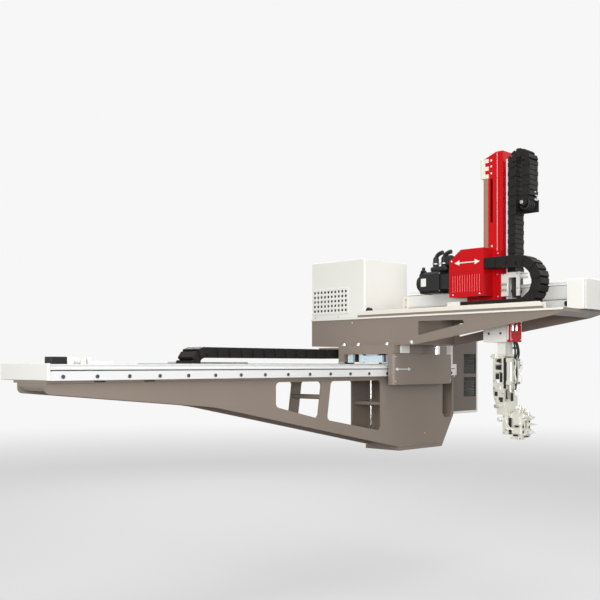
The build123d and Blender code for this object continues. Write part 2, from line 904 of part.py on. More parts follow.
def control_box():
    low = frame_top + flange_thickness
    high = low + box_height
    x = (frame_left + frame_right) / 2
    y = (box_front + frame_back) / 2
    depth = frame_back - box_front
    outer = across_z(Pos(x, y) * RectangleRounded(frame_width, depth, box_radius), low, high)
    outer = chamfer(outer.faces().sort_by(Axis.Z)[-1].edges(), box_edge)
    wall = box_wall
    room = (frame_left + wall, frame_right - wall, box_front + wall, frame_back - wall)
    shell = outer - block(*room, low - 1, high - wall - box_edge)
    cuts = []
    for y, z in vent_places():
        cuts.append(Pos(frame_left + 4, y, z) * Box(10, vent_length, vent_height))
    return shell - cuts


def guide_blocks():
    """Linear guide blocks of the kick carriage on its rails, and of the arm on its own rail."""
    opening = kick_rail_width + 2 * block_clearance
    made = []
    for y in (carriage_near + kick_block_length / 2 + 4, carriage_far - kick_block_length / 2 - 4):
        for x in (kick_rail_near_centre, kick_rail_far_centre):
            size = (kick_block_length, kick_block_width, kick_block_height, 5)
            guide = rail_block(*size, opening, kick_rail_height + block_clearance)
            made.append(Pos(x, y, kick_extrusion_top) * Rot(0, 0, 90) * guide)
    height = back_plate_left - arm_right
    for z in (back_plate_low + arm_block_length / 2 + 6, back_plate_top - arm_block_length / 2 - 6):
        opening = arm_rail_width + 2 * block_clearance
        guide = rail_block(arm_block_length, arm_block_width, height, 4, opening, arm_rail_height + block_clearance)
        made.append(Pos(arm_right, arm_y, z) * Rot(0, 90, 0) * guide)
    return solids(*made)


def kick_saddle():
    """Deck on the kick rails and the upright back plate that holds the arm's guide blocks."""
    top = carriage_low + carriage_plate_thickness
    deck = block(back_plate_right, kick_extrusion_right + 12, carriage_near, carriage_far, carriage_low, top)
    slot_half = kick_pinion_radius + kick_module + 4
    slot_x = (kick_rack_left - 3, kick_rack_left + kick_rack_width + 3)
    deck -= block(*slot_x, kick_pinion_y - slot_half, kick_pinion_y + slot_half, carriage_low - 1, top + 1)
    upright = block(back_plate_left, back_plate_right, housing_front, carriage_far, back_plate_low, back_plate_top)
    right = kick_extrusion_right + 12
    bearing = block(slot_x[1], right, kick_pinion_y - 40, kick_pinion_y + 40, top, kick_pinion_z + 40)
    bore = rod_x(slot_x[1] - 1, right + 1, kick_pinion_y, kick_pinion_z, pinion_shaft_radius + 3)
    return (deck - bore) + upright + (bearing - bore)


def kick_motor():
    left = kick_extrusion_right + 12
    y, z = kick_pinion_y, kick_pinion_z
    gearbox = block(left, left + 58, y - 36, y + 36, z - 30, z + 42)
    body = block(left + 58, left + 138, y - 34, y + 34, z - 28, z + 40)
    cap = block(left + 138, left + 160, y - 26, y + 26, z - 18, z + 30)
    return gearbox + body + cap - rod_x(left - 1, left + 36, y, z, pinion_shaft_radius + shaft_fit)


def kick_pinion():
    face = Pos(kick_pinion_y, kick_pinion_z) * pinion_profile(kick_pinion_teeth, kick_module)
    gear = across_x(face, kick_rack_left + 1, kick_rack_left + kick_rack_width - 1)
    shaft_end = kick_extrusion_right + 12 + 34
    return gear + rod_x(kick_rack_left + 2, shaft_end, kick_pinion_y, kick_pinion_z, pinion_shaft_radius)


def drive_cover():
    """Red cover with a sloped back corner and a band of upright ribs."""
    points = [
        (cover_front, cover_low),
        (cover_back, cover_low),
        (cover_back, cover_top - cover_chamfer_rise),
        (cover_back - cover_chamfer_run, cover_top),
        (cover_front, cover_top),
    ]
    radii = [0, 0, cover_corner_radius, cover_corner_radius, 0]
    outer = across_x(face_of(points, radii), cover_left, cover_right)
    wall = cover_wall
    inside = [
        (cover_front + wall, cover_low + wall),
        (cover_back - wall, cover_low + wall),
        (cover_back - wall, cover_top - cover_chamfer_rise - wall),
        (cover_back - cover_chamfer_run, cover_top - wall),
        (cover_front + wall, cover_top - wall),
    ]
    shell = outer - across_x(make_face(Polyline(*inside, close=True)), cover_left + wall, cover_right + 1)
    half = gearbox_side / 2 + 1
    shell -= block(motor_x - half, motor_x + half, cover_back - 5, cover_back + 5, motor_z - half, motor_z + half)
    pitch = (cover_back - cover_front - 16) / cover_rib_count
    grooves = []
    half = cover_rib_width / 2
    for k in range(cover_rib_count):
        y = cover_front + 8 + (k + 0.5) * pitch
        groove = (cover_left - 1, cover_left + cover_rib_depth, y - half, y + half)
        grooves.append(block(*groove, cover_rib_low, cover_rib_high))
    return shell - grooves


def arm_housing():
    """Red channel that joins the cover to the back plate around the arm, with a window for the drive pulley."""
    wall = block(housing_left, housing_left + housing_wall, housing_front, housing_back, housing_low, housing_top)
    half = arm_pulley_radius + 6
    near, far = arm_back - belt_width - 4, arm_back + 4
    wall -= block(housing_left - 1, housing_left + 9, near, far, arm_pulley_z - half, arm_pulley_z + half)
    collar_near = arm_back + belt_clamp_depth + 2
    collar_low = housing_top - collar_height
    collar = block(housing_left, back_plate_left, collar_near, housing_back, collar_low, housing_top)
    shelf_near = arm_back + 7
    shelf = block(housing_left, back_plate_left, shelf_near, housing_back, housing_low, housing_low + shelf_height)
    return wall + collar + shelf


def arm_motor():
    """Gearbox in the cover behind the drive pulley, and the servo motor that stands out of the cover's back."""
    half = gearbox_side / 2
    inside_back = cover_back - cover_wall - 1
    near = arm_back + 6
    inside = block(arm_pulley_x - 34, cover_right - 1, near, inside_back, motor_z - 34, motor_z + 60)
    inside += block(motor_x - 30, motor_x + 30, inside_back - 1, cover_back, motor_z - 30, motor_z + 30)
    inside -= rod_y(near - 1, near + 36, arm_pulley_x, arm_pulley_z, arm_shaft_radius + shaft_fit)
    back = cover_back + gearbox_length
    gearbox = block(motor_x - half, motor_x + half, cover_back, back, motor_z - half, motor_z + half)
    end = back + motor_length
    wide, tall, cut = motor_side / 2, motor_side / 2 + 6, motor_corner
    outline = [(-wide + cut, -tall), (wide - cut, -tall), (wide, -tall + cut), (wide, tall - cut)]
    outline += [(wide - cut, tall), (-wide + cut, tall), (-wide, tall - cut), (-wide, -tall + cut)]
    body = across_y(Pos(motor_x, motor_z) * make_face(Polyline(*outline, close=True)), back, end)
    cap = rod_y(end, end + motor_cap_length, motor_x, motor_z, motor_cap_radius)
    return inside + gearbox + body + cap


def arm_pulley():
    """Toothed drive pulley beside the belt, on a shaft that runs back into the gearbox."""
    x, z = arm_pulley_x, arm_pulley_z
    drum = rod_y(arm_back - belt_width, arm_back, x, z, arm_pulley_radius)
    return drum + rod_y(arm_back - 1, arm_back + 40, x, z, arm_shaft_radius)


def chain_bracket():
    """White U-shaped stand on the housing wall and the shelf for the lift chain's fixed end."""
    x0, x1 = housing_left, housing_left + housing_wall
    top = lift_anchor_z - shelf_thickness
    front = housing_front - bracket_reach
    outer = block(x0, x1, front, housing_front, bracket_low, top)
    legs = outer - block(x0 - 1, x1 + 1, front + 18, front + 61, bracket_low - 1, top - 15)
    shelf_front = lift_chain_near - lift_chain_height - 28
    right = lift_chain_left + lift_chain_width - 2
    return legs + block(x0, right, shelf_front, lift_chain_near, top, lift_anchor_z)


def kick_run(y0, y1, low):
    return block(kick_chain_left, kick_chain_left + kick_chain_width, y0, y1, low, low + kick_chain_height)


def kick_chain_loop():
    centre_z = kick_chain_low + kick_chain_height / 2 + kick_chain_radius
    face = Pos(kick_loop_y, centre_z) * half_loop(kick_chain_radius, kick_chain_height)
    return across_x(face, kick_chain_left, kick_chain_left + kick_chain_width)


def lift_run(near, low, high):
    left = lift_chain_left
    return block(left, left + lift_chain_width, near - lift_chain_height, near, low, high)


def lift_chain_loop():
    y = lift_chain_near - lift_chain_height / 2 - lift_chain_radius
    face = Pos(y, lift_loop_z) * Rot(0, 0, -90) * half_loop(lift_chain_radius, lift_chain_height)
    return across_x(face, lift_chain_left, lift_chain_left + lift_chain_width)


def arm_profile():
    """Red box profile with two ridges and a long slot in its near side, and a slanted top corner."""
    body = Rectangle(arm_width, arm_depth) - Rectangle(arm_width - 2 * arm_wall, arm_depth - 2 * arm_wall)
    for y in (-38, -22):
        body += Pos(-arm_width / 2 + 0.5, y) * Rectangle(4, 5)
    tube = across_z(Pos(arm_x, arm_y) * body, arm_low, arm_top)
    y, z = arm_back + 1, arm_top + 1
    corner = [(y, z), (y - arm_slant_run, z), (y, z - arm_slant_rise)]
    slant = across_x(make_face(Polyline(*corner, close=True)), arm_left - 5, arm_right + 1)
    slot_back = arm_back - arm_slot_from_back
    slot_side = (arm_left - 1, arm_left + arm_wall + 1, slot_back - arm_slot_width, slot_back)
    slot = block(*slot_side, arm_slot_low, arm_slot_high)
    wall = arm_wall
    room = (arm_left + wall, arm_right - wall, arm_front + wall, arm_back - wall)
    low_end = block(*room, arm_low, arm_low + 8)
    top_end = block(*room, clamp_top - 8, clamp_top)
    return tube - slant - slot + low_end + top_end


def arm_rails():
    """Guide rail on the arm's far side, and the two blocks that hold the inner profile."""
    half = arm_rail_width / 2
    rail = block(arm_right, arm_right + arm_rail_height, arm_y - half, arm_y + half, arm_low + 10, arm_top - 6)
    made = [rail]
    wide = inner_block_width / 2
    gap = inner_rail_width / 2 + block_clearance
    room_top = inner_back + inner_rail_height + block_clearance
    for z in (arm_low + 40, arm_low + 190):
        low, high = z - inner_block_length / 2, z + inner_block_length / 2
        guide = block(arm_x - wide, arm_x + wide, inner_back + 1, arm_front, low, high)
        guide -= block(arm_x - gap, arm_x + gap, inner_back, room_top, low - 1, high + 1)
        made.append(guide)
    return solids(*made)


def arm_belt():
    """Toothed belt along the arm's near side and the cream clamps that hold its two ends."""
    near, far = arm_back - belt_width, arm_back
    belt_top = clamp_top - belt_clamp_height
    belt = block(belt_left, belt_right, near, far, belt_low, belt_top)
    low_clamp = block(belt_left, belt_right, near - 4, far + 4, arm_low + 2, belt_low)
    low_clamp += block(belt_right - 1, arm_left, near - 4, far + 4, arm_low + 2, belt_low)
    finger_end = arm_back - belt_clamp_reach
    clamp = block(belt_left, arm_right - 8, arm_back, arm_back + belt_clamp_depth, belt_top, clamp_top)
    clamp += block(belt_left, arm_left, finger_end, arm_back, belt_top, clamp_top)
    pitch = (belt_clamp_height - belt_clamp_finger) / 2
    for k in (0, 1):
        low = belt_top + belt_clamp_finger + k * pitch
        clamp -= block(belt_left - 1, arm_left, finger_end - 1, arm_back - 10, low, low + pitch - belt_clamp_finger)
    return solids(belt + low_clamp, clamp)


def inner_profile():
    """Light inner profile with its rail, carried by the blocks on the outer arm."""
    body = block(inner_left, inner_right, inner_front, inner_back, inner_low, inner_top)
    for x in (inner_left + 14, inner_right - 26):
        body -= block(x, x + 12, inner_front - 1, inner_front + 4, inner_low - 1, inner_top + 1)
    half = inner_rail_width / 2
    rail = block(arm_x - half, arm_x + half, inner_back, inner_back + inner_rail_height, inner_low, inner_top)
    end_y = lift_chain_near - lift_chain_height - 2 * lift_chain_radius
    x0 = lift_chain_left + lift_chain_width + 0.3
    arm = block(x0, x0 + 6, end_y, inner_front, lift_end_z, lift_end_z + 60)
    return body + rail + arm


def arm_foot():
    """White side plate, end block and neck under the inner profile."""
    x0 = foot_plate_left
    side = block(x0, x0 + foot_plate_thickness, inner_front, foot_plate_back, foot_plate_low, foot_plate_top)
    end = block(x0, inner_right + 8, inner_front, foot_plate_back - 10, foot_plate_low, inner_low)
    neck = block(wrist_left + 12, wrist_right - 12, wrist_front + 2, wrist_front + 48, wrist_top, foot_plate_low)
    return side + end + neck


def arm_clamp():
    """Red clamp block on the front of the inner profile, with two bright pillars in its notch."""
    y1 = inner_front
    y0 = y1 - 18
    body = block(arm_left - 4, inner_right + 22, y0, y1, foot_plate_low, foot_plate_top + 14)
    body -= block(arm_left + 10, inner_right + 4, y0 - 1, y1 - 6, foot_plate_low + 56, foot_plate_top + 15)
    return body


def clamp_pillars():
    """Bright six-sided pillars in the clamp's notch and the bar beside it."""
    made = []
    level = foot_plate_low + 56
    for x in (arm_left + 26, inner_right - 14):
        pillar = Pos(x, inner_front - 12) * RegularPolygon(5.5, 6)
        made.append(across_z(pillar, level, foot_plate_top + 24))
    bar = Pos(inner_right + 28, inner_front - 9) * RegularPolygon(6.8, 6, rotation=30)
    made.append(across_z(bar, foot_plate_low + 6, foot_plate_top + 28))
    return solids(*made)


def wrist_frame():
    """Two windowed side plates, cross plates and the flip pin's bearings."""
    back, front = wrist_back, wrist_front
    outline = [
        (back, wrist_top),
        (back, wrist_low + 62),
        (back - 20, wrist_low),
        (front + 12, wrist_low),
        (front, wrist_low + 40),
        (front, wrist_top),
    ]
    window = [(back - 14, 505), (back - 14, 400), (back - 22, 378), (front + 16, 392), (front + 16, 505)]
    plate_face = make_face(Polyline(*outline, close=True)) - make_face(Polyline(*window, close=True))
    plate_face = plate_face - Pos(flip_y, flip_z) * Circle(flip_pin_radius + shaft_fit)
    left = across_x(plate_face, wrist_left, wrist_left + wrist_plate)
    right = across_x(plate_face, wrist_right - wrist_plate, wrist_right)
    top = block(wrist_left - 4, wrist_right + 4, front - 4, back + 4, wrist_top - 12, wrist_top)
    shelf = block(wrist_left + wrist_plate, wrist_right - wrist_plate, front, front + 8, 352, 508)
    return left + right + top + shelf


def wrist_cylinders():
    """Two upright air cylinders with square bodies in front of the wrist frame, and the valve behind them."""
    made = []
    near, far = wrist_front - 35, wrist_front - 5
    middle = (near + far) / 2
    for x in (arm_x - 20, arm_x + 26):
        corner = chamfer(Rectangle(30, 30).vertices(), 5)
        body = across_z(Pos(x, middle) * corner, 392, 486)
        body += block(x - 17, x + 17, near - 2, wrist_front, 486, 506)
        body += block(x - 17, x + 17, near - 2, wrist_front, 374, 392)
        made.append(body + rod_z(348, 375, x, middle, 6))
    valve_left, valve_right = wrist_left + wrist_plate + 4, wrist_right - wrist_plate - 4
    valve = block(valve_left, valve_right, wrist_back - 30, wrist_back - 4, 430, 498)
    made.append(valve + block(arm_x - 30, arm_x + 30, wrist_back - 26, wrist_back - 6, 498, wrist_top - 12))
    return solids(*made)


def flip_actuator():
    """Rotary air actuator with a square body on the outside of the wrist, around the flip pin."""
    body = block(wrist_right, wrist_right + 44, flip_y - 26, flip_y + 26, flip_z - 26, flip_z + 26)
    body += block(wrist_right, wrist_right + 30, flip_y - 20, flip_y + 20, flip_z + 26, flip_z + 66)
    return body - rod_x(wrist_right - 1, wrist_right + 30, flip_y, flip_z, flip_pin_radius + shaft_fit)


def gripper_head():
    """Flip block on its pin, and a gripper body in front of it with a groove for the two jaws."""
    left, right = wrist_left + wrist_plate + 1, wrist_right - wrist_plate - 1
    front = flip_y - head_offset
    hub = rod_x(left, right, flip_y, flip_z, 18)
    pin = rod_x(wrist_left - 10, wrist_right + 28, flip_y, flip_z, flip_pin_radius)
    arm = block(left, right, front, flip_y + 16, chuck_top - 5, flip_z)
    chuck = block(wrist_left - 4, wrist_right + 4, front - 26, front + 22, gripper_low + 12, chuck_top)
    body = block(arm_x - 38, arm_x + 38, front - 86, front - 26, gripper_low, chuck_top + 8)
    groove = block(arm_x - 10, arm_x + 10, front - 90, front - 66, gripper_low - 1, chuck_top + 9)
    point = [(front - 80, 172), (jaw_tip + 26, 172), (jaw_tip, 177.5)]
    point += [(jaw_tip, 178.5), (jaw_tip + 26, 184), (front - 80, 184)]
    centre = across_x(make_face(Polyline(*point, close=True)), arm_x + 20, arm_x + 30)
    return hub + pin + arm + chuck + (body - groove) + centre


def jaw(z, side):
    """One gripper jaw: a tongue in the groove, a block and a pointed finger."""
    front = flip_y - head_offset
    tongue = block(arm_x - 9.7, arm_x + 9.7, front - 86, front - 66.3, z - 14, z + 14)
    carrier = block(arm_x - 22, arm_x + 22, front - 102, front - 86.4, z - 14, z + 14)
    root = block(arm_x - 9, arm_x + 9, front - 88, front - 84, z - 12, z + 12)
    outline = [
        (front - 102, z - 9),
        (jaw_tip + 20, z - 9),
        (jaw_tip, z - side * 4 - 1.5),
        (jaw_tip, z - side * 4 + 1.5),
        (jaw_tip + 20, z + 9),
        (front - 102, z + 9),
    ]
    finger = across_x(make_face(Polyline(*outline, close=True)), arm_x - 8, arm_x + 8)
    return tongue + carrier + root + finger


def all_parts():
    loop_low_z = traverse_chain_low
    loop_high_z = traverse_chain_low + 2 * traverse_chain_radius
    kick_high_z = kick_chain_low + 2 * kick_chain_radius
    lift_far = lift_chain_near - 2 * lift_chain_radius
    return {
        "side_plate_near": side_plate(web_near, web_near + plate),
        "side_plate_far": side_plate(web_far - plate, web_far),
        "belly_plate": belly(),
        "beam_top_plate": top_plate(),
        "stiffeners": stiffeners(),
        "pedestal_foot": foot(),
        "traverse_extrusion": traverse_extrusion(),
        "traverse_rails": traverse_rails(),
        "traverse_rack": traverse_rack(),
        "beam_end_caps": beam_end_caps(),
        "travel_stops": travel_stops(),
        "traverse_chain_tray": chain_tray(),
        "traverse_chain_lower": run_x(traverse_loop_x, traverse_chain_anchor, loop_low_z),
        "traverse_chain_loop": traverse_chain_loop(),
        "traverse_chain_upper": run_x(traverse_loop_x, traverse_chain_end, loop_high_z),
        "control_cabinet": control_cabinet(),
        "cabinet_door": cabinet_door(),
        "cabinet_grilles": cabinet_grilles(),
        "saddle": saddle(),
        "apron": apron(),
        "traverse_guide_blocks": traverse_guide_blocks(),
        "traverse_motor": traverse_motor(),
        "traverse_pinion": traverse_pinion(),
        "kick_web_near": kick_web(frame_left, frame_left + plate),
        "kick_web_far": kick_web(frame_right - plate, frame_right),
        "kick_frame_plates": kick_frame_plates(),
        "kick_chain_tray": kick_chain_tray(),
        "kick_extrusion": kick_extrusion(),
        "kick_rails": kick_rails(),
        "kick_rack": kick_rack(),
        "kick_end_cap": kick_end_cap(),
        "control_box": control_box(),
        "kick_guide_blocks": guide_blocks(),
        "kick_saddle": kick_saddle(),
        "kick_motor": kick_motor(),
        "kick_pinion": kick_pinion(),
        "drive_cover": drive_cover(),
        "arm_housing": arm_housing(),
        "arm_motor": arm_motor(),
        "arm_pulley": arm_pulley(),
        "chain_bracket": chain_bracket(),
        "kick_chain_lower": kick_run(kick_loop_y, kick_chain_anchor, kick_chain_low),
        "kick_chain_loop": kick_chain_loop(),
        "kick_chain_upper": kick_run(kick_loop_y, cover_front, kick_high_z),
        "arm_profile": arm_profile(),
        "arm_rails": arm_rails(),
        "arm_belt": arm_belt(),
        "inner_profile": inner_profile(),
        "arm_foot": arm_foot(),
        "arm_clamp": arm_clamp(),
        "clamp_pillars": clamp_pillars(),
        "lift_chain_fixed_run": lift_run(lift_chain_near, lift_anchor_z, lift_loop_z),
        "lift_chain_loop": lift_chain_loop(),
        "lift_chain_moving_run": lift_run(lift_far, lift_end_z, lift_loop_z),
        "wrist_frame": wrist_frame(),
        "wrist_cylinders": wrist_cylinders(),
        "flip_actuator": flip_actuator(),
        "gripper_head": gripper_head(),
        "jaw_upper": jaw(upper_jaw_z, -1),
        "jaw_lower": jaw(lower_jaw_z, 1),
    }


def write_parts():
    os.makedirs("parts", exist_ok=True)
    for name, piece in all_parts().items():
        export_step(piece, f"parts/{name}.step")


write_parts()
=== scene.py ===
# %% [markdown]
# # A take-out robot for an injection moulding machine
# The robot stands on the machine and lifts moulded parts out of it. A long beam carries a carriage, the
# carriage carries a second, shorter beam, and that one carries a red telescopic arm with a gripper.
# The large solids come from a CAD model and stay where it puts them. This file gives each of them its
# finish and adds what is too fine for CAD: chain links, screws, weld seams, trims, hoses and fittings.

# %% Load the solids
import json
import math

import bpy
import numpy as np
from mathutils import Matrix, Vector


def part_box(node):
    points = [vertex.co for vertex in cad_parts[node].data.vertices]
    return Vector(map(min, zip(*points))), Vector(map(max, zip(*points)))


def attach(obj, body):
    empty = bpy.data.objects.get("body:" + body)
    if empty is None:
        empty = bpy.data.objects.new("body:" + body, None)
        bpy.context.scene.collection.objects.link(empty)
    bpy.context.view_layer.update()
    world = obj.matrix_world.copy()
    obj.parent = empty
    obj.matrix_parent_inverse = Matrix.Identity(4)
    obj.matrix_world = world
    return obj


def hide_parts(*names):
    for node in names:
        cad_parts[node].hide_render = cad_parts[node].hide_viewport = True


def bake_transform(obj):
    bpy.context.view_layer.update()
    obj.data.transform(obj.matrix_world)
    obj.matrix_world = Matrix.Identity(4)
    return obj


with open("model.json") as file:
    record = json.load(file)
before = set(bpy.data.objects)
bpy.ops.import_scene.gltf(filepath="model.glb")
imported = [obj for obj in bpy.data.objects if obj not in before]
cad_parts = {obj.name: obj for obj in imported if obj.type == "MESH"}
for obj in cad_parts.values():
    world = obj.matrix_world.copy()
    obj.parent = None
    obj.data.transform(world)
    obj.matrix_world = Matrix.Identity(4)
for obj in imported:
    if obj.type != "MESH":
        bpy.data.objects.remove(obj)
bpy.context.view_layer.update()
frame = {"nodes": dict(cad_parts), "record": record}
nodes = frame["nodes"]
print("solids loaded:", len(nodes))

# %% [markdown]
# ## Camera
# The photograph was taken level, from the beam's free end and a little in front of it, so the camera has
# no tilt. Its horizon lies below the middle of the picture. A tilted camera would make the upright arm
# lean, so the picture is moved with a lens shift instead, as a product photographer does.

# %% Camera
picture_side = 600.0  # pixels
focal_length = 872.0  # pixels
horizon_drop = 65.4  # pixels from the middle of the picture down to the horizon
view_direction = (0.71444, 0.69969)

camera_data = bpy.data.cameras.new("view_camera")
camera_data.sensor_width = 36.0
camera_data.lens = focal_length / picture_side * camera_data.sensor_width
camera_data.shift_y = horizon_drop / picture_side
camera_data.clip_end = 200.0
camera = bpy.data.objects.new("view_camera", camera_data)
camera.location = (-4.01075, -3.08748, 0.470)
camera.rotation_euler = (math.radians(90.0), 0.0, math.atan2(-view_direction[0], view_direction[1]))
bpy.context.scene.collection.objects.link(camera)
bpy.context.scene.camera = camera
bpy.context.scene.view_settings.view_transform = "Standard"
print("lens in millimetres:", round(camera_data.lens, 1))

# %% [markdown]
# ## Floor and light
# A pale floor and five large, soft lamps are enough. The key lamp stands beyond the beam's free end, so
# the faces that look that way are the bright ones and the long side darkens towards the foot. A lamp
# above, a low one in front, a weak one on the right and one behind keep the other sides readable. The
# background is what the camera, shiny metal and glass see; the light on the object comes from the lamps
# and a dimmer sky, so that white sheet metal keeps its shades. The floor fades into the background with
# distance.


# %% Helpers for light
def tone(red, green, blue):
    """A colour read from a screen, 0 to 255, as the linear value that the shaders use."""
    level = np.array([red, green, blue]) / 255.0
    linear = np.where(level <= 0.04045, level / 12.92, ((level + 0.055) / 1.055) ** 2.4)
    return tuple(float(v) for v in linear)


def add_node(tree, kind, settings=None, **inputs):
    """A new node. An input given as a socket is linked, any other is set; _ stands for a space."""
    node = tree.nodes.new(kind)
    for label, value in (settings or {}).items():
        setattr(node, label, value)
    for label, value in inputs.items():
        socket = node.inputs[label.replace("_", " ")]
        if isinstance(value, bpy.types.NodeSocket):
            tree.links.new(value, socket)
        else:
            socket.default_value = value
    return node


def calc(tree, operation, first, second=0.0):
    """One Math node: operation(first, second), where each is a socket or a number."""
    node = tree.nodes.new("ShaderNodeMath")
    node.operation = operation
    for socket, value in zip(node.inputs, (first, second)):
        if isinstance(value, (int, float)):
            socket.default_value = value
        else:
            tree.links.new(value, socket)
    return node.outputs["Value"]


def seen_directly(tree):
    """1 for a ray from the camera, from a mirror-like surface or through glass, and 0 for other rays."""
    path = tree.nodes.new("ShaderNodeLightPath").outputs
    shiny = calc(tree, "MAXIMUM", path["Is Glossy Ray"], path["Is Transmission Ray"])
    return calc(tree, "MAXIMUM", path["Is Camera Ray"], shiny)


def between(tree, share, low, high):
    """low + share * (high - low)."""
    return calc(tree, "ADD", calc(tree, "MULTIPLY", share, high - low), low)


def studio_sky(seen, lit):
    """A world that is bright where it is seen, and dimmer where it lights a surface."""
    world = bpy.data.worlds.new("studio")
    bpy.context.scene.world = world
    world.use_nodes = True
    tree = world.node_tree
    background = tree.nodes["Background"]
    background.inputs["Color"].default_value = (1.0, 1.0, 1.0, 1.0)
    tree.links.new(between(tree, seen_directly(tree), lit, seen), background.inputs["Strength"])


def soft_lamp(name, place, target, side, power):
    """A square area lamp that faces its target."""
    lamp_data = bpy.data.lights.new(name, "AREA")
    lamp_data.energy = power
    lamp_data.size = side
    lamp = bpy.data.objects.new(name, lamp_data)
    lamp.location = place
    away = np.array(place) - np.array(target)
    flat = math.hypot(away[0], away[1])
    lamp.rotation_euler = (math.atan2(flat, away[2]), 0.0, math.atan2(away[0], -away[1]))
    bpy.context.scene.collection.objects.link(lamp)


# %% Sky, lamps and floor
background_level = 0.93
studio_sky(seen=background_level, lit=0.32)
soft_lamp("key_lamp", (-6.0, -2.8, 1.9), (-0.8, -0.2, 0.5), 3.2, 218)
soft_lamp("top_lamp", (-0.9, -1.8, 4.2), (-0.6, -0.2, 0.6), 2.6, 100)
soft_lamp("front_lamp", (-3.7, -4.8, 0.6), (-0.2, -0.5, 0.5), 1.6, 72)
soft_lamp("side_lamp", (2.8, -4.2, 2.2), (0.0, -0.5, 0.6), 2.6, 26)
soft_lamp("back_lamp", (2.2, 4.6, 3.2), (-0.4, 0.2, 0.5), 2.8, 110)


def paper_floor(pale, dim, glow, fade_start=3.5, fade_end=16.0):
    """Paper that is pale where it is seen and throws little light back up. Its share of the background's
    glow rises from glow to 1 by a smooth step between two distances from the object, in metres."""
    material = bpy.data.materials.new("floor_paper")
    material.use_nodes = True
    tree = material.node_tree
    place = add_node(tree, "ShaderNodeTexCoord").outputs["Object"]
    away = add_node(tree, "ShaderNodeVectorMath", {"operation": "LENGTH"}, Vector=place).outputs["Value"]
    smooth = {"interpolation_type": "SMOOTHSTEP"}
    fade = add_node(tree, "ShaderNodeMapRange", smooth, Value=away, From_Min=fade_start, From_Max=fade_end)
    seen = seen_directly(tree)
    level = between(tree, seen, dim, pale)
    grey = add_node(tree, "ShaderNodeCombineColor", Red=level, Green=level, Blue=level)
    shader = tree.nodes["Principled BSDF"]
    shader.inputs["Roughness"].default_value = 0.9
    shader.inputs["Specular IOR Level"].default_value = 0.1
    tree.links.new(grey.outputs["Color"], shader.inputs["Base Color"])
    light = add_node(tree, "ShaderNodeEmission", Strength=background_level)
    share = calc(tree, "MULTIPLY", seen, between(tree, fade.outputs["Result"], glow, 1.0))
    mix = add_node(tree, "ShaderNodeMixShader", Fac=share)
    tree.links.new(shader.outputs["BSDF"], mix.inputs[1])
    tree.links.new(light.outputs["Emission"], mix.inputs[2])
    tree.links.new(mix.outputs["Shader"], tree.nodes["Material Output"].inputs["Surface"])
    return material


floor_half, floor_z = 60, -0.85
floor_corners = [(floor_half * x, floor_half * y, floor_z) for x, y in ((-1, -1), (1, -1), (1, 1), (-1, 1))]
floor_mesh = bpy.data.meshes.new("studio_floor")
floor_mesh.from_pydata(floor_corners, [], [(0, 1, 2, 3)])
floor_mesh.materials.append(paper_floor(pale=0.72, dim=0.22, glow=0.42))
studio_floor = bpy.data.objects.new("studio_floor", floor_mesh)
bpy.context.scene.collection.objects.link(studio_floor)

# %% [markdown]
# ## Shared effects
# Three node groups hold what the finishes have in common. Spray paint has a slight orange peel and drifts
# a little in colour from panel to panel. Rolled or ground metal has grain in one direction. Moulded
# plastic has a fine even grain with dull, rubbed patches. Each group is built once and gives out a colour,
# a roughness and a height; every finish sets its own values on it.


# %% Paint, metal and plastic as node groups
def empty_group(name, numbers):
    """A group with a place, a colour and some numbers coming in; colour, roughness and height go out."""
    group = bpy.data.node_groups.new(name, "ShaderNodeTree")
    new_socket = group.interface.new_socket
    new_socket("Place", in_out="INPUT", socket_type="NodeSocketVector")
    new_socket("Colour", in_out="INPUT", socket_type="NodeSocketColor")
    for label, value in numbers.items():
        new_socket(label, in_out="INPUT", socket_type="NodeSocketFloat").default_value = value
    for label, kind in (("Colour", "Color"), ("Roughness", "Float"), ("Height", "Float")):
        new_socket(label, in_out="OUTPUT", socket_type="NodeSocket" + kind)
    return group, group.nodes.new("NodeGroupInput"), group.nodes.new("NodeGroupOutput")


def noise_in(group, place, scale, detail=2.0, stretch=(1.0, 1.0, 1.0)):
    """Noise whose cells are scale to a metre, drawn out along the axes with a small stretch value."""
    drawn = add_node(group, "ShaderNodeMapping", Vector=place, Scale=stretch).outputs["Vector"]
    return add_node(group, "ShaderNodeTexNoise", Vector=drawn, Scale=scale, Detail=detail).outputs["Fac"]


def spread(group, value, low, high):
    """Moves a value that runs from about 0.3 to 0.7 to the range low to high."""
    bounds = {"From_Min": 0.3, "From_Max": 0.7, "To_Min": low, "To_Max": high}
    return add_node(group, "ShaderNodeMapRange", Value=value, **bounds).outputs["Result"]


def shaded(group, colour, value):
    """The colour times a grey value."""
    multiply = {"data_type": "RGBA", "blend_type": "MULTIPLY"}
    return add_node(group, "ShaderNodeMix", multiply, Factor=1.0, A=colour, B=value).outputs["Result"]


def surface_group(name, numbers, surface):
    """A group that multiplies its colour by a shade and adds a smear to its roughness. The function
    surface makes the shade, the smear and the height from the group's tree and inputs."""
    group, start, end = empty_group(name, numbers)
    shade, smear, height = surface(group, start.outputs)
    group.links.new(shaded(group, start.outputs["Colour"], shade), end.inputs["Colour"])
    group.links.new(calc(group, "ADD", smear, start.outputs["Roughness"]), end.inputs["Roughness"])
    group.links.new(height, end.inputs["Height"])
    return group


def paint(group, given):
    """Sprayed paint: the colour drifts over tens of centimetres, and rubbed patches are duller."""
    darkest = calc(group, "SUBTRACT", 1.0, given["Drift"])
    drift = spread(group, noise_in(group, given["Place"], 2.5, 3.0), darkest, 1.0)
    patches = spread(group, noise_in(group, given["Place"], 24.0, 5.0), 0.0, 1.0)
    rub = calc(group, "MULTIPLY", patches, given["Rub"])
    return drift, rub, noise_in(group, given["Place"], 520.0, 1.0)


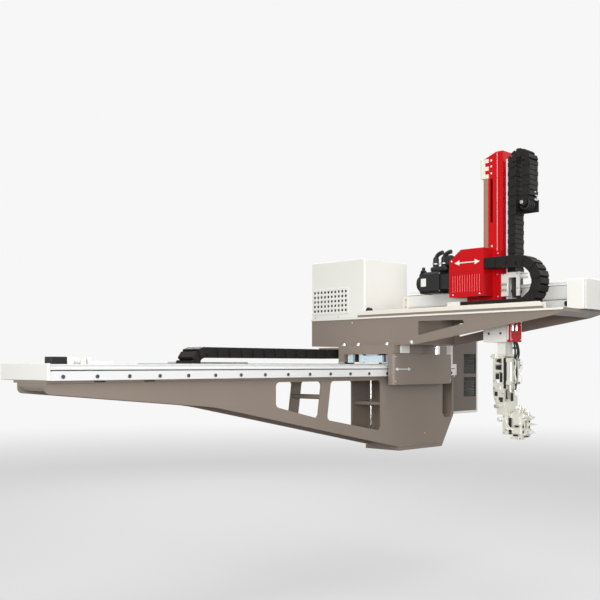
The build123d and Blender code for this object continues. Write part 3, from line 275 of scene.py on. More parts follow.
def plastic(group, given):
    """Moulded plastic: an even grain, with paler and duller patches."""
    palest = calc(group, "ADD", given["Bloom"], 1.0)
    bloom = spread(group, noise_in(group, given["Place"], 14.0, 4.0), 1.0, palest)
    rub = spread(group, noise_in(group, given["Place"], 30.0, 3.0), -0.06, 0.08)
    return bloom, rub, noise_in(group, given["Place"], 1400.0, 2.0)


def metal_grain(name, stretch):
    """A group for metal with fine streaks along the axis whose stretch is small."""

    def metal(group, given):
        lines = noise_in(group, given["Place"], 900.0, 3.0, stretch)
        streaks = spread(group, lines, calc(group, "SUBTRACT", 1.0, given["Grain"]), 1.0)
        smear = spread(group, noise_in(group, given["Place"], 9.0, 4.0), -0.05, 0.07)
        return streaks, smear, lines

    return surface_group(name, {"Roughness": 0.3, "Grain": 0.12}, metal)


sprayed = surface_group("sprayed_paint", {"Roughness": 0.35, "Drift": 0.06, "Rub": 0.06}, paint)
moulded = surface_group("moulded_plastic", {"Roughness": 0.5, "Bloom": 0.15}, plastic)
grain_x = metal_grain("metal_grain_x", (0.02, 1.0, 1.0))
grain_y = metal_grain("metal_grain_y", (1.0, 0.02, 1.0))
grain_z = metal_grain("metal_grain_z", (1.0, 1.0, 0.02))
cast = metal_grain("metal_cast", (1.0, 1.0, 1.0))
print("node groups:", len(bpy.data.node_groups))

# %% [markdown]
# ## Finishes
# A finish is a Principled shader fed by one of the groups. What is the same all over, such as metal or
# the strength of the gloss, is set on the shader itself. The dictionary has one finish for each material
# slot of the CAD record, and a few more for fittings and fasteners, for painted highlights and for
# painted shade.


# %% Finishes
finishes = {}
bump_depth = 0.0006  # metres


def finish(name, group, colour, bump=0.05, metal=0.0, gloss=0.5, **numbers):
    """Adds a finish: group values in, Principled shader out, with the height as a slight bump."""
    material = bpy.data.materials.new(name)
    material.use_nodes = True
    tree = material.node_tree
    shader = tree.nodes["Principled BSDF"]
    place = add_node(tree, "ShaderNodeTexCoord").outputs["Object"]
    numbers["Colour"] = (*tone(*colour), 1.0)
    effect = add_node(tree, "ShaderNodeGroup", {"node_tree": group}, Place=place, **numbers).outputs
    relief = add_node(tree, "ShaderNodeBump", Strength=bump, Distance=bump_depth, Height=effect["Height"])
    tree.links.new(effect["Colour"], shader.inputs["Base Color"])
    tree.links.new(effect["Roughness"], shader.inputs["Roughness"])
    tree.links.new(relief.outputs["Normal"], shader.inputs["Normal"])
    shader.inputs["Metallic"].default_value = metal
    shader.inputs["Specular IOR Level"].default_value = gloss
    finishes[name] = material


finish("grey_paint", sprayed, (141, 128, 117), gloss=0.4, Roughness=0.36, Drift=0.06, Rub=0.08)
finish("door_paint", sprayed, (116, 105, 96), gloss=0.3, Roughness=0.40, Drift=0.05)
finish("white_paint", sprayed, (240, 239, 232), Roughness=0.38, Drift=0.02)
finish("red_paint", sprayed, (200, 8, 18), gloss=0.22, Roughness=0.34, Drift=0.06)
# A pale pink red with a stronger gloss: painted highlights along the edges of the cover's ribs.
finish("red_rib_highlight", sprayed, (238, 108, 110), gloss=0.6, Roughness=0.22, Drift=0.04)
finish("black_paint", sprayed, (34, 33, 34), gloss=0.3, Roughness=0.38, Drift=0.15)
finish("cream_paint", sprayed, (240, 233, 220), Roughness=0.38, Drift=0.03)
finish("aluminium", cast, (233, 231, 219), metal=0.4, Roughness=0.32, Grain=0.10)
finish("rail_steel", grain_x, (190, 192, 195), metal=1.0, Roughness=0.26, Grain=0.14)
finish("bright_metal", grain_z, (226, 227, 229), metal=1.0, bump=0.02, Roughness=0.12, Grain=0.05)
finish("white_plastic", moulded, (239, 238, 232), Roughness=0.46, Bloom=0.01)
finish("black_plastic", moulded, (30, 30, 30), gloss=0.3, Roughness=0.48)
finish("chain_plastic", moulded, (30, 29, 27), bump=0.1, gloss=0.16, Roughness=0.5, Bloom=0.25)
finish("cream_rubber", moulded, (160, 122, 99), bump=0.1, Roughness=0.62, Bloom=0.05)
finish("extruded_x", grain_x, (236, 237, 236), metal=0.2, Roughness=0.36, Grain=0.05)
finish("extruded_y", grain_y, (240, 240, 236), metal=0.1, Roughness=0.36, Grain=0.05)
finish("extruded_z", grain_z, (222, 224, 224), metal=0.45, Roughness=0.36, Grain=0.04)
finish("steel_y", grain_y, (190, 192, 195), metal=1.0, Roughness=0.26, Grain=0.14)
finish("steel_z", grain_z, (190, 192, 195), metal=1.0, Roughness=0.26, Grain=0.14)
finish("dark_steel", cast, (92, 94, 98), metal=0.8, Roughness=0.36, Grain=0.16)
finish("zinc", cast, (186, 188, 186), metal=0.9, Roughness=0.34, Grain=0.16)
finish("blue_glass", moulded, (206, 222, 230), Roughness=0.22, Bloom=0.04)
# Near black: the own colour of rail caps and seams, and painted shade in slots, grooves and the gaps between
# plates.
finish("black_and_painted_shade", moulded, (17, 17, 17), Roughness=0.8, Bloom=0.05)
finish("brass", cast, (196, 170, 108), metal=1.0, Roughness=0.28, Grain=0.1)
# Bright white: the real colour of printed arrows and the cabinet's rim, and painted highlights on the arm's
# side and the clamp's corner.
finish("bright_white_and_highlight", sprayed, (240, 240, 236), Roughness=0.45, Drift=0.02)
print("finishes:", len(finishes))

# %% [markdown]
# ## Finishes on the CAD solids
# Each solid takes the finish of its slot. The grain of rolled or extruded metal runs along the part, so
# rails and profiles get the version of the metal whose grain lies along their own axis.

# %% Finishes on the CAD solids
slot_of = {s["node"]: s["material_slot"] for s in frame["record"]["subparts"]}
own_grain = {
    "traverse_extrusion": "extruded_x",
    "traverse_rails": "extruded_x",
    "cabinet_door": "door_paint",
    "kick_extrusion": "extruded_y",
    "inner_profile": "extruded_z",
    "kick_rails": "extruded_y",
    "kick_rack": "steel_y",
    "arm_rails": "extruded_z",
}
for node_name, solid in nodes.items():
    solid.data.materials.clear()
    solid.data.materials.append(finishes[own_grain.get(node_name, slot_of[node_name])])
print("solids finished:", len(nodes))

# %% [markdown]
# ## Making new pieces
# Every added piece is a surface worked out with numpy, in millimetres and in the CAD frame. A shape here
# is a pair: an array of points, and a list of faces that are rows of point numbers. Turned parts come
# from a radius profile, flat parts from an outline with a small chamfer on its rims, and repeated parts
# are one small shape copied to many places as one array.


# %% Turned shapes and chamfered plates
def turned(profile, sides=12):
    """A surface of revolution about z. Point (k, j) is radius_k * (cos a_j, sin a_j) at height_k."""
    radius, height = np.array(profile, float).T
    angle = np.arange(sides) * 2 * np.pi / sides
    ring = np.stack([np.cos(angle), np.sin(angle)], axis=1)
    flat = radius[:, None, None] * ring[None, :, :]
    levels = np.broadcast_to(height[:, None, None], (len(height), sides, 1))
    points = np.concatenate([flat, levels], axis=2).reshape(-1, 3)
    return points, ring_faces(len(height), sides)


def ring_faces(rings, sides):
    """Quads between neighbouring rings of points, and one flat face at each end."""
    low = (np.arange(rings - 1)[:, None] * sides + np.arange(sides)[None, :]).ravel()
    turn = np.where((low + 1) % sides == 0, low + 1 - sides, low + 1)
    quads = np.stack([low, turn, turn + sides, low + sides], axis=1).tolist()
    last = (rings - 1) * sides
    return quads + [list(range(sides))[::-1], list(range(last, last + sides))]


def plate(outline, low, high, edge=0.8):
    """An outline in x and y, counterclockwise, raised from low to high with chamfered rims.
    A rim point moves inwards by edge along the sum of its two edge normals, over 1 plus their cosine,
    which counts as 0.4 at least, so that a sharp corner doesn't move far."""
    outline = np.array(outline, float)
    ahead = np.roll(outline, -1, axis=0) - outline
    normal = np.stack([-ahead[:, 1], ahead[:, 0]], axis=1)
    normal /= np.linalg.norm(normal, axis=1)[:, None]
    before = np.roll(normal, 1, axis=0)
    share = 1 + np.sum(normal * before, axis=1)
    inner = outline + edge * (normal + before) / np.maximum(share, 0.4)[:, None]
    rings = [(inner, low), (outline, low + edge), (outline, high - edge), (inner, high)]
    points = [np.column_stack([xy, np.full(len(xy), z)]) for xy, z in rings]
    return np.concatenate(points), ring_faces(4, len(outline))


def block(x0, x1, y0, y1, z0, z1, edge=0.8):
    """A cuboid between two corners, with its upright edges cut and its rims chamfered."""
    c = min(edge, (x1 - x0) / 3, (y1 - y0) / 3)
    near_half = [(x0 + c, y0), (x1 - c, y0), (x1, y0 + c), (x1, y1 - c)]
    far_half = [(x1 - c, y1), (x0 + c, y1), (x0, y1 - c), (x0, y0 + c)]
    return plate(near_half + far_half, z0, z1, min(edge, (z1 - z0) / 3))


def rounded(width, height, radius, steps=4):
    """A rectangle about the centre whose corners are quarter circles."""
    angle = np.linspace(0, np.pi / 2, steps)
    places = [(1, 1, 0), (-1, 1, 1), (-1, -1, 2), (1, -1, 3)]
    corners = []
    for sx, sy, quarter in places:
        a = angle + quarter * np.pi / 2
        centre = np.array([sx * (width / 2 - radius), sy * (height / 2 - radius)])
        corners.append(centre + radius * np.column_stack([np.cos(a), np.sin(a)]))
    return np.concatenate(corners)


# %% Placing, copying and finishing
ways = {
    "+z": np.eye(3),
    "-z": np.array([[1, 0, 0], [0, -1, 0], [0, 0, -1]]),
    "-y": np.array([[1, 0, 0], [0, 0, -1], [0, 1, 0]]),
    "+y": np.array([[-1, 0, 0], [0, 0, 1], [0, 1, 0]]),
    "-x": np.array([[0, 0, -1], [-1, 0, 0], [0, 1, 0]]),
    "+x": np.array([[0, 0, 1], [1, 0, 0], [0, 1, 0]]),
}


def placed(shape, at, way="+z"):
    """The shape with its z axis turned to face a way, then moved to its place."""
    points, faces = shape
    return points @ ways[way].T + np.array(at, float), faces


def many(shape, places, way="+z"):
    """One shape at many places: points become a (copies, points, 3) array in one step."""
    points, faces = shape
    places = np.array(places, float).reshape(-1, 1, 3)
    copies = (points @ ways[way].T)[None, :, :] + places
    shifts = np.arange(len(places)) * len(points)
    every = [[f + s for f in face] for s in shifts.tolist() for face in faces]
    return copies.reshape(-1, 3), every


def joined(*shapes):
    """Several shapes as one."""
    points, faces, start = [], [], 0
    for shape_points, shape_faces in shapes:
        points.append(shape_points)
        faces += [[f + start for f in face] for face in shape_faces]
        start += len(shape_points)
    return np.concatenate(points), faces


def blocks(edge, *corners):
    """Several cuboids as one shape, each given by its x0, x1, y0, y1, z0, z1."""
    return joined(*[block(*six, edge) for six in corners])


def on_x(x, *places):
    """Points at one x from pairs of y and z."""
    return [(x, y, z) for y, z in places]


def grid(xs, ys, zs):
    """Every point whose x, y and z are among the given ones. Each of them may be a single number."""
    xs, ys, zs = (np.atleast_1d(values) for values in (xs, ys, zs))
    return [(x, y, z) for x in xs for y in ys for z in zs]


def box_of(node):
    """The low and the high corner of a CAD node's box, in millimetres."""
    return np.array(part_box(node)) * 1000


sharp_angle = math.radians(32.0)  # edges that turn by more than this stay sharp


def put(name, shape, slot, body=None, finish_name=None):
    """Makes the mesh in metres, smooths its round faces, gives it its finish and its body."""
    points, faces = shape
    mesh = bpy.data.meshes.new(name)
    mesh.from_pydata((points / 1000.0).tolist(), [], faces)
    mesh.validate()
    mesh.shade_smooth()
    mesh.set_sharp_from_angle(angle=sharp_angle)
    mesh.materials.append(finishes[finish_name or slot])
    piece = bpy.data.objects.new(name, mesh)
    bpy.context.scene.collection.objects.link(piece)
    if body:
        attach(piece, body)
    return piece


def screw_head(radius, height):
    """A socket-head cap screw: a low cylinder with a chamfered rim and a socket drawn in."""
    rim = [(radius, 0), (radius, height * 0.8), (radius * 0.86, height)]
    socket = [(radius * 0.5, height), (radius * 0.45, height * 0.4)]
    return turned(rim + socket)


def dome_head(radius, height):
    """A button head: radius r * cos(t) at height h * sin(t)."""
    t = np.linspace(0, 1.35, 5)
    return turned(np.column_stack([radius * np.cos(t), height * np.sin(t)]), 14)


def screws(name, size, places, way, body, finish_name="zinc"):
    """Socket-head screws of one size, a radius and a height, at their places."""
    put(name, many(screw_head(*size), places, way), "rail_steel", body, finish_name)


def domes(name, size, places, way, body, slot="rail_steel", finish_name=None):
    """Button heads of one size, a radius and a height, at their places."""
    put(name, many(dome_head(*size), places, way), slot, body, finish_name)


print("shape helpers ready")

# %% [markdown]
# ## Cable chains
# Three cable chains lead hoses and wires to the moving carriages. A real chain is a row of plastic links,
# each with two side plates and cross bars above and below. The CAD model has a plain bar and a half ring
# in its place. Here one link of a few dozen faces is copied along the chain's centre line. Next to a
# carriage the chain shortens on one side of its loop as it grows on the other. Here the straight runs
# stand still, and the loop rides on a body that moves half as far.


# %% One link, and a row of links
def chain_link(pitch, height, width, inset):
    """A link along x, height along y, width along z: two side plates with cut corners, two cross plates,
    a core that stands for the hoses inside, and a pin's end on each side."""
    h, cut, reach = height / 2, height * 0.10, pitch * 0.58
    bar = height * 0.10
    side = [
        (-reach + cut, -h), (reach - cut, -h), (reach, -h + cut), (reach, h - cut),
        (reach - cut, h), (-reach + cut, h), (-reach, h - cut), (-reach, -h + cut),
    ]
    w = width / 2 - inset
    left = plate(side, -w, -w + width * 0.06, 1.0)
    right = plate(side, w - width * 0.06, w, 1.0)
    bars = []
    for y in (-h + 0.3, h - bar - 0.3):
        bars.append(block(-pitch * 0.46, pitch * 0.46, y, y + bar, -w + 2, w - 2, 1.0))
    core = block(-pitch * 0.52, pitch * 0.52, -h * 0.66, h * 0.66, -w * 0.86, w * 0.86, 0.5)
    pin = turned([(height * 0.15, 0), (height * 0.15, 1.6), (height * 0.09, 2.0)], 8)
    pins = joined(placed(pin, (pitch / 2, 0, w - 1.2), "+z"), placed(pin, (pitch / 2, 0, -w + 1.2), "-z"))
    return joined(left, right, *bars, core, pins)


def row_of_links(line, outward, side, pitch, height, width):
    """Links at equal steps along a line of points. Point p of a link goes to
    centre + p_x * direction + p_y * outward + p_z * side, for all links in one product."""
    line, outward = np.array(line, float), np.array(outward, float)
    step = np.linalg.norm(np.diff(line, axis=0), axis=1)
    along = np.concatenate([[0], np.cumsum(step)])
    count = max(2, int(round(along[-1] / pitch)))
    true_pitch = along[-1] / count
    places = (np.arange(count) + 0.5) * true_pitch
    centres = np.stack([np.interp(places, along, line[:, k]) for k in range(3)], axis=1)
    outs = np.stack([np.interp(places, along, outward[:, k]) for k in range(3)], axis=1)
    outs /= np.linalg.norm(outs, axis=1)[:, None]
    side = np.array(side, float)
    directions = np.cross(outs, np.broadcast_to(side, outs.shape))
    frames = np.stack([directions, outs, np.broadcast_to(side, outs.shape)], axis=1)
    shapes = []
    for parity in (0, 1):
        points, faces = chain_link(true_pitch, height, width, inset=parity * width * 0.045)
        chosen = frames[parity::2]
        copies = np.einsum("pk,ckd->cpd", points, chosen) + centres[parity::2, None, :]
        shifts = np.arange(len(chosen)) * len(points)
        every = [[f + s for f in face] for s in shifts.tolist() for face in faces]
        shapes.append((copies.reshape(-1, 3), every))
    return joined(*shapes)


def straight(start, end, outward):
    """Centre line of a straight run, with the direction away from the loop's middle."""
    return np.array([start, end], float), np.array([outward, outward], float)


def half_turn(centre, radius, first, second, steps=24):
    """Centre line of a loop: centre + r * (cos t * first + sin t * second), t from 0 to pi."""
    t = np.linspace(0, np.pi, steps)[:, None]
    out = np.cos(t) * np.array(first, float) + np.sin(t) * np.array(second, float)
    return np.array(centre, float) + radius * out, out


# %% [markdown]
# ### The long chain behind the beam and the chain on the kick frame
# The first lies in a tray behind the beam, turns over at its free end and comes back to the saddle. The
# second lies on a tray along the frame's near flange, turns up in front of the arm's housing and ends at
# the red cover. Each straight run stands still, and the loop rides on a body that moves half as far as
# the carriage.

# %% Two rolling chains
rolling_height = 52.0


def rolling_chain(name, axis, pitch, side, still, moving):
    """Two runs along X (axis 0) or Y (axis 1), one above the other, and the loop at their low end."""
    low, high = box_of(name + "_chain_loop")
    across = 1 - axis
    size = (pitch, rolling_height, high[across] - low[across])
    ahead = np.eye(3)[axis]
    loop = high[axis]
    anchor = box_of(name + "_chain_lower")[1][axis]
    carrier = box_of(name + "_chain_upper")[1][axis]
    lower_z, upper_z = low[2] + rolling_height / 2, high[2] - rolling_height / 2

    def at(place, z):
        """A point of the chain's middle plane."""
        point = (low + high) / 2
        point[axis], point[2] = place, z
        return point

    runs = (
        ("lower", at(anchor, lower_z), at(loop, lower_z), (0, 0, -1), anchor, (still, moving)),
        ("upper", at(loop, upper_z), at(carrier, upper_z), (0, 0, 1), carrier, (moving, still)),
    )
    for run, first, last, outward, held, bodies in runs:
        line, out = straight(first, last, outward)
        piece = put(f"{name}_links_{run}", row_of_links(line, out, side, *size), "chain_plastic")
        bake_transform(piece)
        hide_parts(f"{name}_chain_{run}")

    centre = at(loop, (lower_z + upper_z) / 2)
    line, out = half_turn(centre, (upper_z - lower_z) / 2, (0, 0, -1), -ahead)
    links = row_of_links(line, out, side, *size)
    piece = put(name + "_links_loop", links, "chain_plastic", name + "_chain_roller")
    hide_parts(name + "_chain_loop")
    print(name, "chain: loop height", round(high[2] - low[2]), "width", round(size[2]))


rolling_chain("traverse", 0, 40.0, (0, 1, 0), "base", "traverse_carriage")
rolling_chain("kick", 1, 31.0, (-1, 0, 0), "traverse_carriage", "kick_carriage")

# %% [markdown]
# ### The chain of the arm
# It stands in front of the arm: up from the white stand, over the loop at the top, and down to the inner
# profile, which moves twice as far as the outer one. Its lower end curls inwards.

# %% Lift chain
low, high = box_of("lift_chain_loop")
middle_x = (low[0] + high[0]) / 2
lift_pitch, lift_height = 24.0, 44.0
size = (lift_pitch, lift_height, high[0] - low[0])
near_y, far_y = high[1] - lift_height / 2, low[1] + lift_height / 2
top_z = low[2]
stand_z = box_of("lift_chain_fixed_run")[0][2]
end_z = box_of("lift_chain_moving_run")[0][2]
across = (1, 0, 0)

line, out = straight((middle_x, near_y, stand_z), (middle_x, near_y, top_z), (0, 1, 0))
lift_fixed = put("lift_links_fixed", row_of_links(line, out, across, *size), "chain_plastic")
lower, upper = (0, 0, stand_z / 1000), (0, 0, top_z / 1000)
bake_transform(lift_fixed)
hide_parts("lift_chain_fixed_run")

curl_reach, curl_drop = 46, 72  # half axes of the ellipse that the lower end follows
curl_out_y, curl_out_z = -70, -52  # how its links lean outwards, at its start and at its end
curl_top = end_z + 100
t = np.linspace(0, 1.1, 9)[:, None]
curl = np.hstack([0 * t + middle_x, far_y + curl_reach * (1 - np.cos(t)), curl_top - curl_drop * np.sin(t)])
curl_out = np.hstack([0 * t, curl_out_y * np.cos(t), curl_out_z * np.sin(t)])
line, out = straight((middle_x, far_y, top_z), (middle_x, far_y, curl_top + 2), (0, -1, 0))
line, out = np.vstack([line, curl]), np.vstack([out, curl_out])
out /= np.linalg.norm(out, axis=1)[:, None]
lift_moving = put("lift_links_moving", row_of_links(line, out, across, *size), "chain_plastic")
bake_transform(lift_moving)
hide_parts("lift_chain_moving_run")

line, out = half_turn((middle_x, (near_y + far_y) / 2, top_z), (near_y - far_y) / 2, (0, 1, 0), (0, 0, 1))
lift_loop = put("lift_links_loop", row_of_links(line, out, across, *size), "chain_plastic", "arm_outer")
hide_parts("lift_chain_loop")
print("lift chain top:", round(high[2]))

# %% [markdown]
# ## Fasteners along the beam
# The beam's side strip is held by a screw every 150 mm, the only rhythm on the long side. The guide rails
# have countersunk screws under small caps. One head is modelled for each kind and copied along a line.

# %% Screws and rail caps
beam_low, beam_high = box_of("traverse_extrusion")
near_face, far_face = beam_low[1], beam_high[1]
strip_x, strip_z = np.arange(-2282, 300, 150.0), 427.0
screws("strip_screws", (8.0, 3.6), grid(strip_x, near_face, strip_z), "-y", "base", "dark_steel")
screws("far_strip_screws", (8.0, 3.0), grid(strip_x, far_face, strip_z), "+y", "base", "dark_steel")


def along(start, end, pitch):
    """Places at about equal steps from start to end, both included: start + t * (end - start)."""
    start, end = np.array(start, float), np.array(end, float)
    count = max(1, int(round(np.linalg.norm(end - start) / pitch)))
    return start + np.linspace(0, 1, count + 1)[:, None] * (end - start)


def cap(radius, top_radius, sides):
    """A low cap over a countersunk screw."""
    return turned([(radius, 0), (radius, 0.25), (top_radius, 0.5)], sides)


rail_margin = 30
rail_rows = (
    ("traverse_rail_caps", "traverse_rails", "base", 0, (-128.5, 208.5), 80.0),
    ("kick_rail_caps", "kick_rails", "traverse_carriage", 1, (-30.0, 43.0), 60.0),
)
for name, rails, body, axis, sides, pitch in rail_rows:
    low, high = box_of(rails)
    rows = []
    for side in sides:
        ends = np.array([[side, side, high[2]], [side, side, high[2]]])
        ends[:, axis] = low[axis] + rail_margin, high[axis] - rail_margin
        rows.append(along(*ends, pitch))
    put(name, many(cap(5.5, 4.4, 12), np.concatenate(rows)), "rail_steel", body, "black_and_painted_shade")

arm_rail_right = box_of("arm_rails")[1][0]
arm_caps = along((arm_rail_right, -707.0, 725.0), (arm_rail_right, -707.0, 1515.0), 60.0)
put("arm_rail_caps", many(cap(4, 3, 10), arm_caps, "+x"), "rail_steel", "arm_outer", "black_and_painted_shade")

# %% [markdown]
# ## The beam's end, the slots in its top plate and the foot
# A dark line of painted shadow shows where the side strip ends below the rail. The top plate has two
# dark slots near its free end, where a lifting strap goes, drawn as strips of painted shade. A
# rubber-faced stop stands beside the near rail, and the foot has a bright edge, which is a painted
# highlight, and a pair of earth screws.

# %% Beam end details
shadow_line = block(-2336, 300, near_face - 0.8, near_face + 0.6, 449.5, 453.2, 0.2)
put("strip_shadow_line", shadow_line, "black_plastic", "base", "black_and_painted_shade")
top_plate_near = box_of("beam_top_plate")[0][1]
slot_depth = (top_plate_near - 0.6, top_plate_near + 0.4)
# The two strap slots are dark strips of painted shade.
slots = [(x0, x1, *slot_depth, 403.6, 408.4) for x0, x1 in ((-2137, -2085), (-1900, -1846))]
put("strap_slot_shade", blocks(0.3, *slots), "black_plastic", "base", "black_and_painted_shade")
bumper = blocks(2, (-2311, -2243, -106.5, -53.5, 454, 503.5), (-2243, -2236, -98, -62, 460, 494))
put("stop_bumper", bumper, "black_plastic", "base")
# A bright metal strip along the foot's edge is a painted highlight.
put("foot_edge_highlight", block(-206, -200, 77, 86, 115, 400, 1), "bright_metal", "base")
screws("earth_screws", (6.0, 4.0), grid((34.3, 66.0), -120.0, 86.0), "-y", "base", "brass")

# %% [markdown]
# ## Weld seams
# The plates of the base and of the kick frame are welded. A weld is a row of small overlapping ripples,
# and close up it is what tells a welded base from a casting.


# %% Weld seams
def weld(start, end, radius=3.2, ripple=7.0):
    """A tube along a line whose radius is r * (0.85 + 0.15 * cos of the place along a ripple)."""
    start, end = np.array(start, float), np.array(end, float)
    length = np.linalg.norm(end - start)
    steps = int(length / ripple * 3) + 2
    t = np.linspace(0, 1, steps)
    bead = radius * (0.85 + 0.15 * np.cos(t * length / ripple * 2 * np.pi))
    ahead = (end - start) / length
    upright = abs(ahead[2]) >= 0.9
    across = np.cross(ahead, (1.0, 0.0, 0.0) if upright else (0.0, 0.0, 1.0))
    across /= np.linalg.norm(across)
    up = np.cross(across, ahead)
    angle = np.arange(6) * np.pi / 3
    ring = np.cos(angle)[:, None] * across + np.sin(angle)[:, None] * up
    points = start + t[:, None, None] * (end - start) + bead[:, None, None] * ring[None, :, :]
    faces = [f[::-1] for f in ring_faces(steps, 6)]
    return points.reshape(-1, 3), faces


webs = (-121, 97)  # just outside the two side plates
foot_seams = [weld((-195, y, 22.5), (205, y, 22.5)) for y in webs]
top_seams = [weld((-2335, y, 401.5), (312, y, 401.5), 2.4) for y in webs]
put("base_welds", joined(*foot_seams, *top_seams), "grey_paint", "base")
frame_seams = [weld((x, -1080, 726.0), (x, 425, 726.0), 2.6) for x in (-302.5, 61.5)]
put("kick_frame_welds", joined(*frame_seams), "grey_paint", "traverse_carriage")

# %% [markdown]
# ## Traverse carriage
# Thick button screws stand on the saddle's ledge. The apron hangs below it and hides the near rail. On it
# is a plain white double arrow for the direction of travel. Grease blocks and a round bumper show under
# the deck.


# %% Screws, arrow and blocks on the traverse carriage
def double_arrow(length, body_height, head_length, head_height):
    """A flat double-headed arrow in x and y, as one outline of ten corners."""
    tip, body, head = length / 2, body_height / 2, head_height / 2
    neck = tip - head_length
    low_half = [(-tip, 0), (-neck, -head), (-neck, -body), (neck, -body), (neck, -head)]
    high_half = [(tip, 0), (neck, head), (neck, body), (-neck, body), (-neck, head)]
    return plate(low_half + high_half, 0.0, 0.7, 0.15)


apron_near = box_of("apron")[0][1]
web_dome = placed(dome_head(12.0, 10.0), (-313, -289, 592), "-x")
saddle_heads = joined(many(dome_head(13.0, 17.0), grid(-325, (171, 67, -136), 580)), web_dome)
put("saddle_screws", saddle_heads, "bright_metal", "traverse_carriage")
arrow = placed(double_arrow(140, 5, 26, 20), (-259, apron_near, 450), "-y")
put("apron_arrow", arrow, "white_paint", "traverse_carriage", "bright_white_and_highlight")
apron_dots = grid((-322, 187), apron_near, (384, 516))
domes("apron_screws", (5.0, 2.6), apron_dots, "-y", "traverse_carriage", finish_name="zinc")
grease = blocks(
    0.8,
    (-320, -300, -95, 43, 486, 524),
    (-318, -302, -60, 20, 524, 532),
    (-322, -300, 43, 67, 483, 532),
    (-320, -300, 114, 151, 485, 532),
)
put("grease_blocks", grease, "white_plastic", "traverse_carriage", "blue_glass")
put("stop_block", block(-284, -207, -198, -189, 536, 580, 1.5), "white_plastic", "traverse_carriage")
post = turned([(17, 0), (20, 2), (20, 46), (17, 50)], 24)
shelf = block(66, 132, -176, -150, 512, 532)
put("bumper_post", joined(placed(post, (100, -154, 530)), shelf), "bright_metal", "traverse_carriage")
motor_dots = grid((-102, -33), (86, 156), 636.0)
screws("traverse_motor_screws", (3.5, 4.0), motor_dots, "+z", "traverse_carriage")

# %% [markdown]
# ## Kick frame
# The frame's near flange has a pale edge, and beside it runs the outer wall of the chain's tray: grey
# below, cream at its rim. The white control box behind is plain, with a vent grid, and small screws hold
# its panels.


# %% Trims and screws of the kick frame
def side_wall(outline, x, thickness):
    """A plate drawn in Y and Z, raised towards -X from the given X."""
    points, faces = plate([(-y, z) for y, z in outline][::-1], 0.0, thickness, 0.4)
    return np.column_stack([x - points[:, 2], -points[:, 0], points[:, 1]]), faces


box_low, box_high = box_of("control_box")
box_left, box_front, box_right = box_low[0], box_low[1], box_high[0]
edge_strip = block(-317.8, -316.8, -1156, 434, 727.6, 736.6, 0.3)
put("flange_edge", edge_strip, "white_paint", "traverse_carriage")
wall_outline = [(-1055, 737), (84, 737), (84, 747), (78, 749), (-1048, 749), (-1055, 744)]
rim_outline = [(-1048, 749), (80, 749), (90, 758), (82, 771), (-1036, 771), (-1046, 762)]
tray_floor = block(-312, -292, -1050, 20, 737.2, 739.2, 0.3)
tray_wall = joined(side_wall(wall_outline, -312.0, 3.0), tray_floor)
put("tray_outer_wall", tray_wall, "grey_paint", "traverse_carriage")
put("tray_rim", side_wall(rim_outline, -311.5, 4.5), "cream_paint", "traverse_carriage")
web_dot = [(box_left, 125.8, 708.0)]
domes("web_screw", (6.0, 3.0), web_dot, "-x", "traverse_carriage", finish_name="zinc")
dot = dome_head(4.2, 2.0)
box_screws = joined(
    many(dot, on_x(box_left, (407, 746), (229, 746)), "-x"),
    many(dot, grid((55, -150), box_front, 752), "-y"),
    many(dot, on_x(box_right, (52, 752), (52, 1046), (417, 752), (417, 1046)), "+x"),
)
put("box_screws", box_screws, "rail_steel", "traverse_carriage", "zinc")
nose_bumper = turned([(8, -4), (11, 0), (11, 34), (13, 35), (13, 46), (9, 48)], 16)
put("nose_bumper", placed(nose_bumper, (-84, -1092, 770), "+y"), "black_plastic", "traverse_carriage")
put("tray_clamp", block(-300, -262, -578, -505, 770, 792, 2), "white_plastic", "traverse_carriage")
gland = turned([(17, 0), (17, 8), (13, 9), (13, 24), (9, 27)], 14)
put("box_gland", placed(gland, (-285, box_front, 775), "-y"), "black_plastic", "traverse_carriage")

# %% Vent grid of the control box
vent_shade = block(box_left - 0.6, box_left + 0.1, 158, 423, 773, 900, 0.1)
put("vent_shade", vent_shade, "black_plastic", "traverse_carriage", "black_and_painted_shade")
slat_half, post_half = 6.8, 6.4
slats = [(-316.0, -313.4, 151, 430, z - slat_half, z + slat_half) for z in np.linspace(770, 903, 6)]
posts = [(-315.4, -313.5, y - post_half, y + post_half, 765, 908) for y in np.linspace(157.5, 423.5, 11)]
put("vent_grid", joined(blocks(0.5, *slats), blocks(0.3, *posts)), "white_paint", "traverse_carriage")

# %% [markdown]
# ### Kick extrusion and its end plate
# The extrusion's side has two long grooves and a gap above the flange, each filled with a dark strip of
# painted shade. Its back end is closed by a plate with bolts.

# %% Kick extrusion details
groove_levels = ((791.5, 794.5), (861.5, 863.6), (748.0, 749.4))
# Dark strips of painted shade inside the grooves and the gap.
groove_shades = [(-57.8, -56.6, -1090, -73, z0, z1) for z0, z1 in groove_levels]
put("extrusion_groove_shade", blocks(0.3, *groove_shades), "black_plastic", "traverse_carriage", "black_and_painted_shade")
end_plate = joined(block(-58.5, 64, -71, -44, 737.5, 865, 1.5), block(-57, 62, -44, -31, 737.5, 862, 2))
put("extrusion_end_plate", end_plate, "aluminium", "traverse_carriage")
end_bolts = grid((-44, 50), -31.0, (752, 800, 850))
screws("end_plate_bolts", (6.0, 5.0), end_bolts, "+y", "traverse_carriage")
side_bolts = grid(-58.5, -57, (758, 800, 842))
screws("end_plate_side_bolts", (5.0, 3.0), side_bolts, "-x", "traverse_carriage")

# %% [markdown]
# ## Cabinet
# The cabinet at the beam's right-hand end has a grey door in a white rim, two vent grilles, a quarter-turn
# lock, hinges and cable glands underneath.

